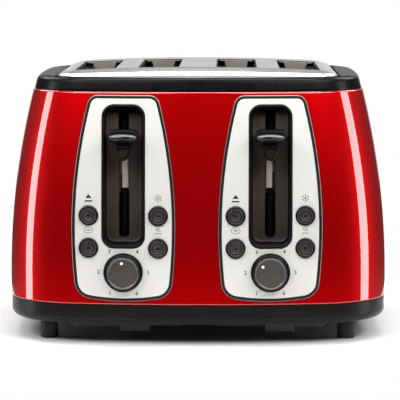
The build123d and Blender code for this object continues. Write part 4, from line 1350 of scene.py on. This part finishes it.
def area_light(name, at, look, size, size_y, power, colour=(1, 1, 1)):
    d = bpy.data.lights.new(name, "AREA")
    d.shape = "RECTANGLE"
    d.size, d.size_y = size, size_y
    d.energy = power
    d.color = colour
    o = bpy.data.objects.new(name, d)
    o.location = at
    o.rotation_euler = (Vector(look) - Vector(at)).to_track_quat("-Z", "Y").to_euler()
    bpy.context.scene.collection.objects.link(o)
    return o


def around(az, el, r, z=0.11):
    """Point at an azimuth from the front (towards +X), an elevation and a distance from the body's middle."""
    a, e = math.radians(az), math.radians(el)
    return (r * math.cos(e) * math.sin(a), -r * math.cos(e) * math.cos(a), z + r * math.sin(e))


MID = (0.0, 0.0, 0.11)
area_light("top_box", (0.0, -0.02, 1.65), (0.0, -0.02, 0.0), 1.5, 0.9, 30.0)
area_light("top_front", around(0, 66, 1.7), MID, 1.3, 0.6, 1.8)
area_light("soft_left", around(-31, 37, 1.7), MID, 1.15, 0.62, 12.5)
area_light("soft_right", around(31, 37, 1.7), MID, 1.15, 0.62, 12.5)
area_light("side_left", around(-62, 38, 1.6), MID, 0.7, 0.5, 7.0)
area_light("side_right", around(62, 38, 1.6), MID, 0.7, 0.5, 9.0)
area_light("edge_left", around(-130, 38, 1.5), MID, 0.6, 0.6, 7.0)
area_light("edge_right", around(130, 38, 1.5), MID, 0.6, 0.6, 7.0)
area_light("strip_left", around(-90, 3, 0.85), MID, 0.19, 0.62, 1.8)
area_light("strip_right", around(87, 3, 0.85), MID, 0.215, 0.62, 2.04)
area_light("card_back", around(180, 9, 1.6), MID, 1.5, 0.7, 1.75)

world = bpy.data.worlds.new("studio")
bpy.context.scene.world = world
world.use_nodes = True
wt = world.node_tree
wt.nodes.clear()
w_out = wt.nodes.new("ShaderNodeOutputWorld")
w_seen = wt.nodes.new("ShaderNodeBackground")
w_lit = wt.nodes.new("ShaderNodeBackground")
w_mix = wt.nodes.new("ShaderNodeMixShader")
w_path = wt.nodes.new("ShaderNodeLightPath")
w_seen.inputs["Color"].default_value = (1.0, 1.0, 1.0, 1.0)
w_seen.inputs["Strength"].default_value = 1.0
w_co = wt.nodes.new("ShaderNodeTexCoord")
w_sep = wt.nodes.new("ShaderNodeSeparateXYZ")
w_ramp = wt.nodes.new("ShaderNodeValToRGB")
wt.links.new(w_co.outputs["Generated"], w_sep.inputs["Vector"])
w_rng = wt.nodes.new("ShaderNodeMapRange")
w_rng.inputs["From Min"].default_value = -1.0
w_rng.inputs["From Max"].default_value = 1.0
wt.links.new(w_sep.outputs["Y"], w_rng.inputs["Value"])
wt.links.new(w_rng.outputs["Result"], w_ramp.inputs["Fac"])
e = w_ramp.color_ramp.elements
e[0].position, e[0].color = 0.35, (0.010, 0.010, 0.010, 1)
e[1].position, e[1].color = 0.95, (0.04, 0.04, 0.04, 1)
wt.links.new(w_ramp.outputs["Color"], w_lit.inputs["Color"])
w_lit.inputs["Strength"].default_value = 1.0
wt.links.new(w_path.outputs["Is Camera Ray"], w_mix.inputs["Fac"])
wt.links.new(w_lit.outputs["Background"], w_mix.inputs[1])
wt.links.new(w_seen.outputs["Background"], w_mix.inputs[2])
wt.links.new(w_mix.outputs["Shader"], w_out.inputs["Surface"])

cam_d = bpy.data.cameras.new("camera")
cam_d.sensor_width = 36.0
cam_d.sensor_fit = "HORIZONTAL"
cam_d.lens = 218.45
cam_d.clip_start, cam_d.clip_end = 0.05, 60.0
cam = bpy.data.objects.new("camera", cam_d)
bpy.context.scene.collection.objects.link(cam)
CAM_AZ, CAM_PITCH = math.radians(0.749), math.radians(5.86)
right = Vector((math.cos(CAM_AZ), math.sin(CAM_AZ), 0))
fwd = Vector((-math.sin(CAM_AZ) * math.cos(CAM_PITCH), math.cos(CAM_AZ) * math.cos(CAM_PITCH), -math.sin(CAM_PITCH)))
up = right.cross(fwd)
cam.matrix_world = Matrix(((right.x, up.x, -fwd.x, 0.02731), (right.y, up.y, -fwd.y, -2.0309), (right.z, up.z, -fwd.z, 0.31028), (0, 0, 0, 1)))
bpy.context.scene.camera = cam
bpy.context.scene.view_settings.view_transform = "Standard"
bpy.context.scene.view_settings.look = "None"
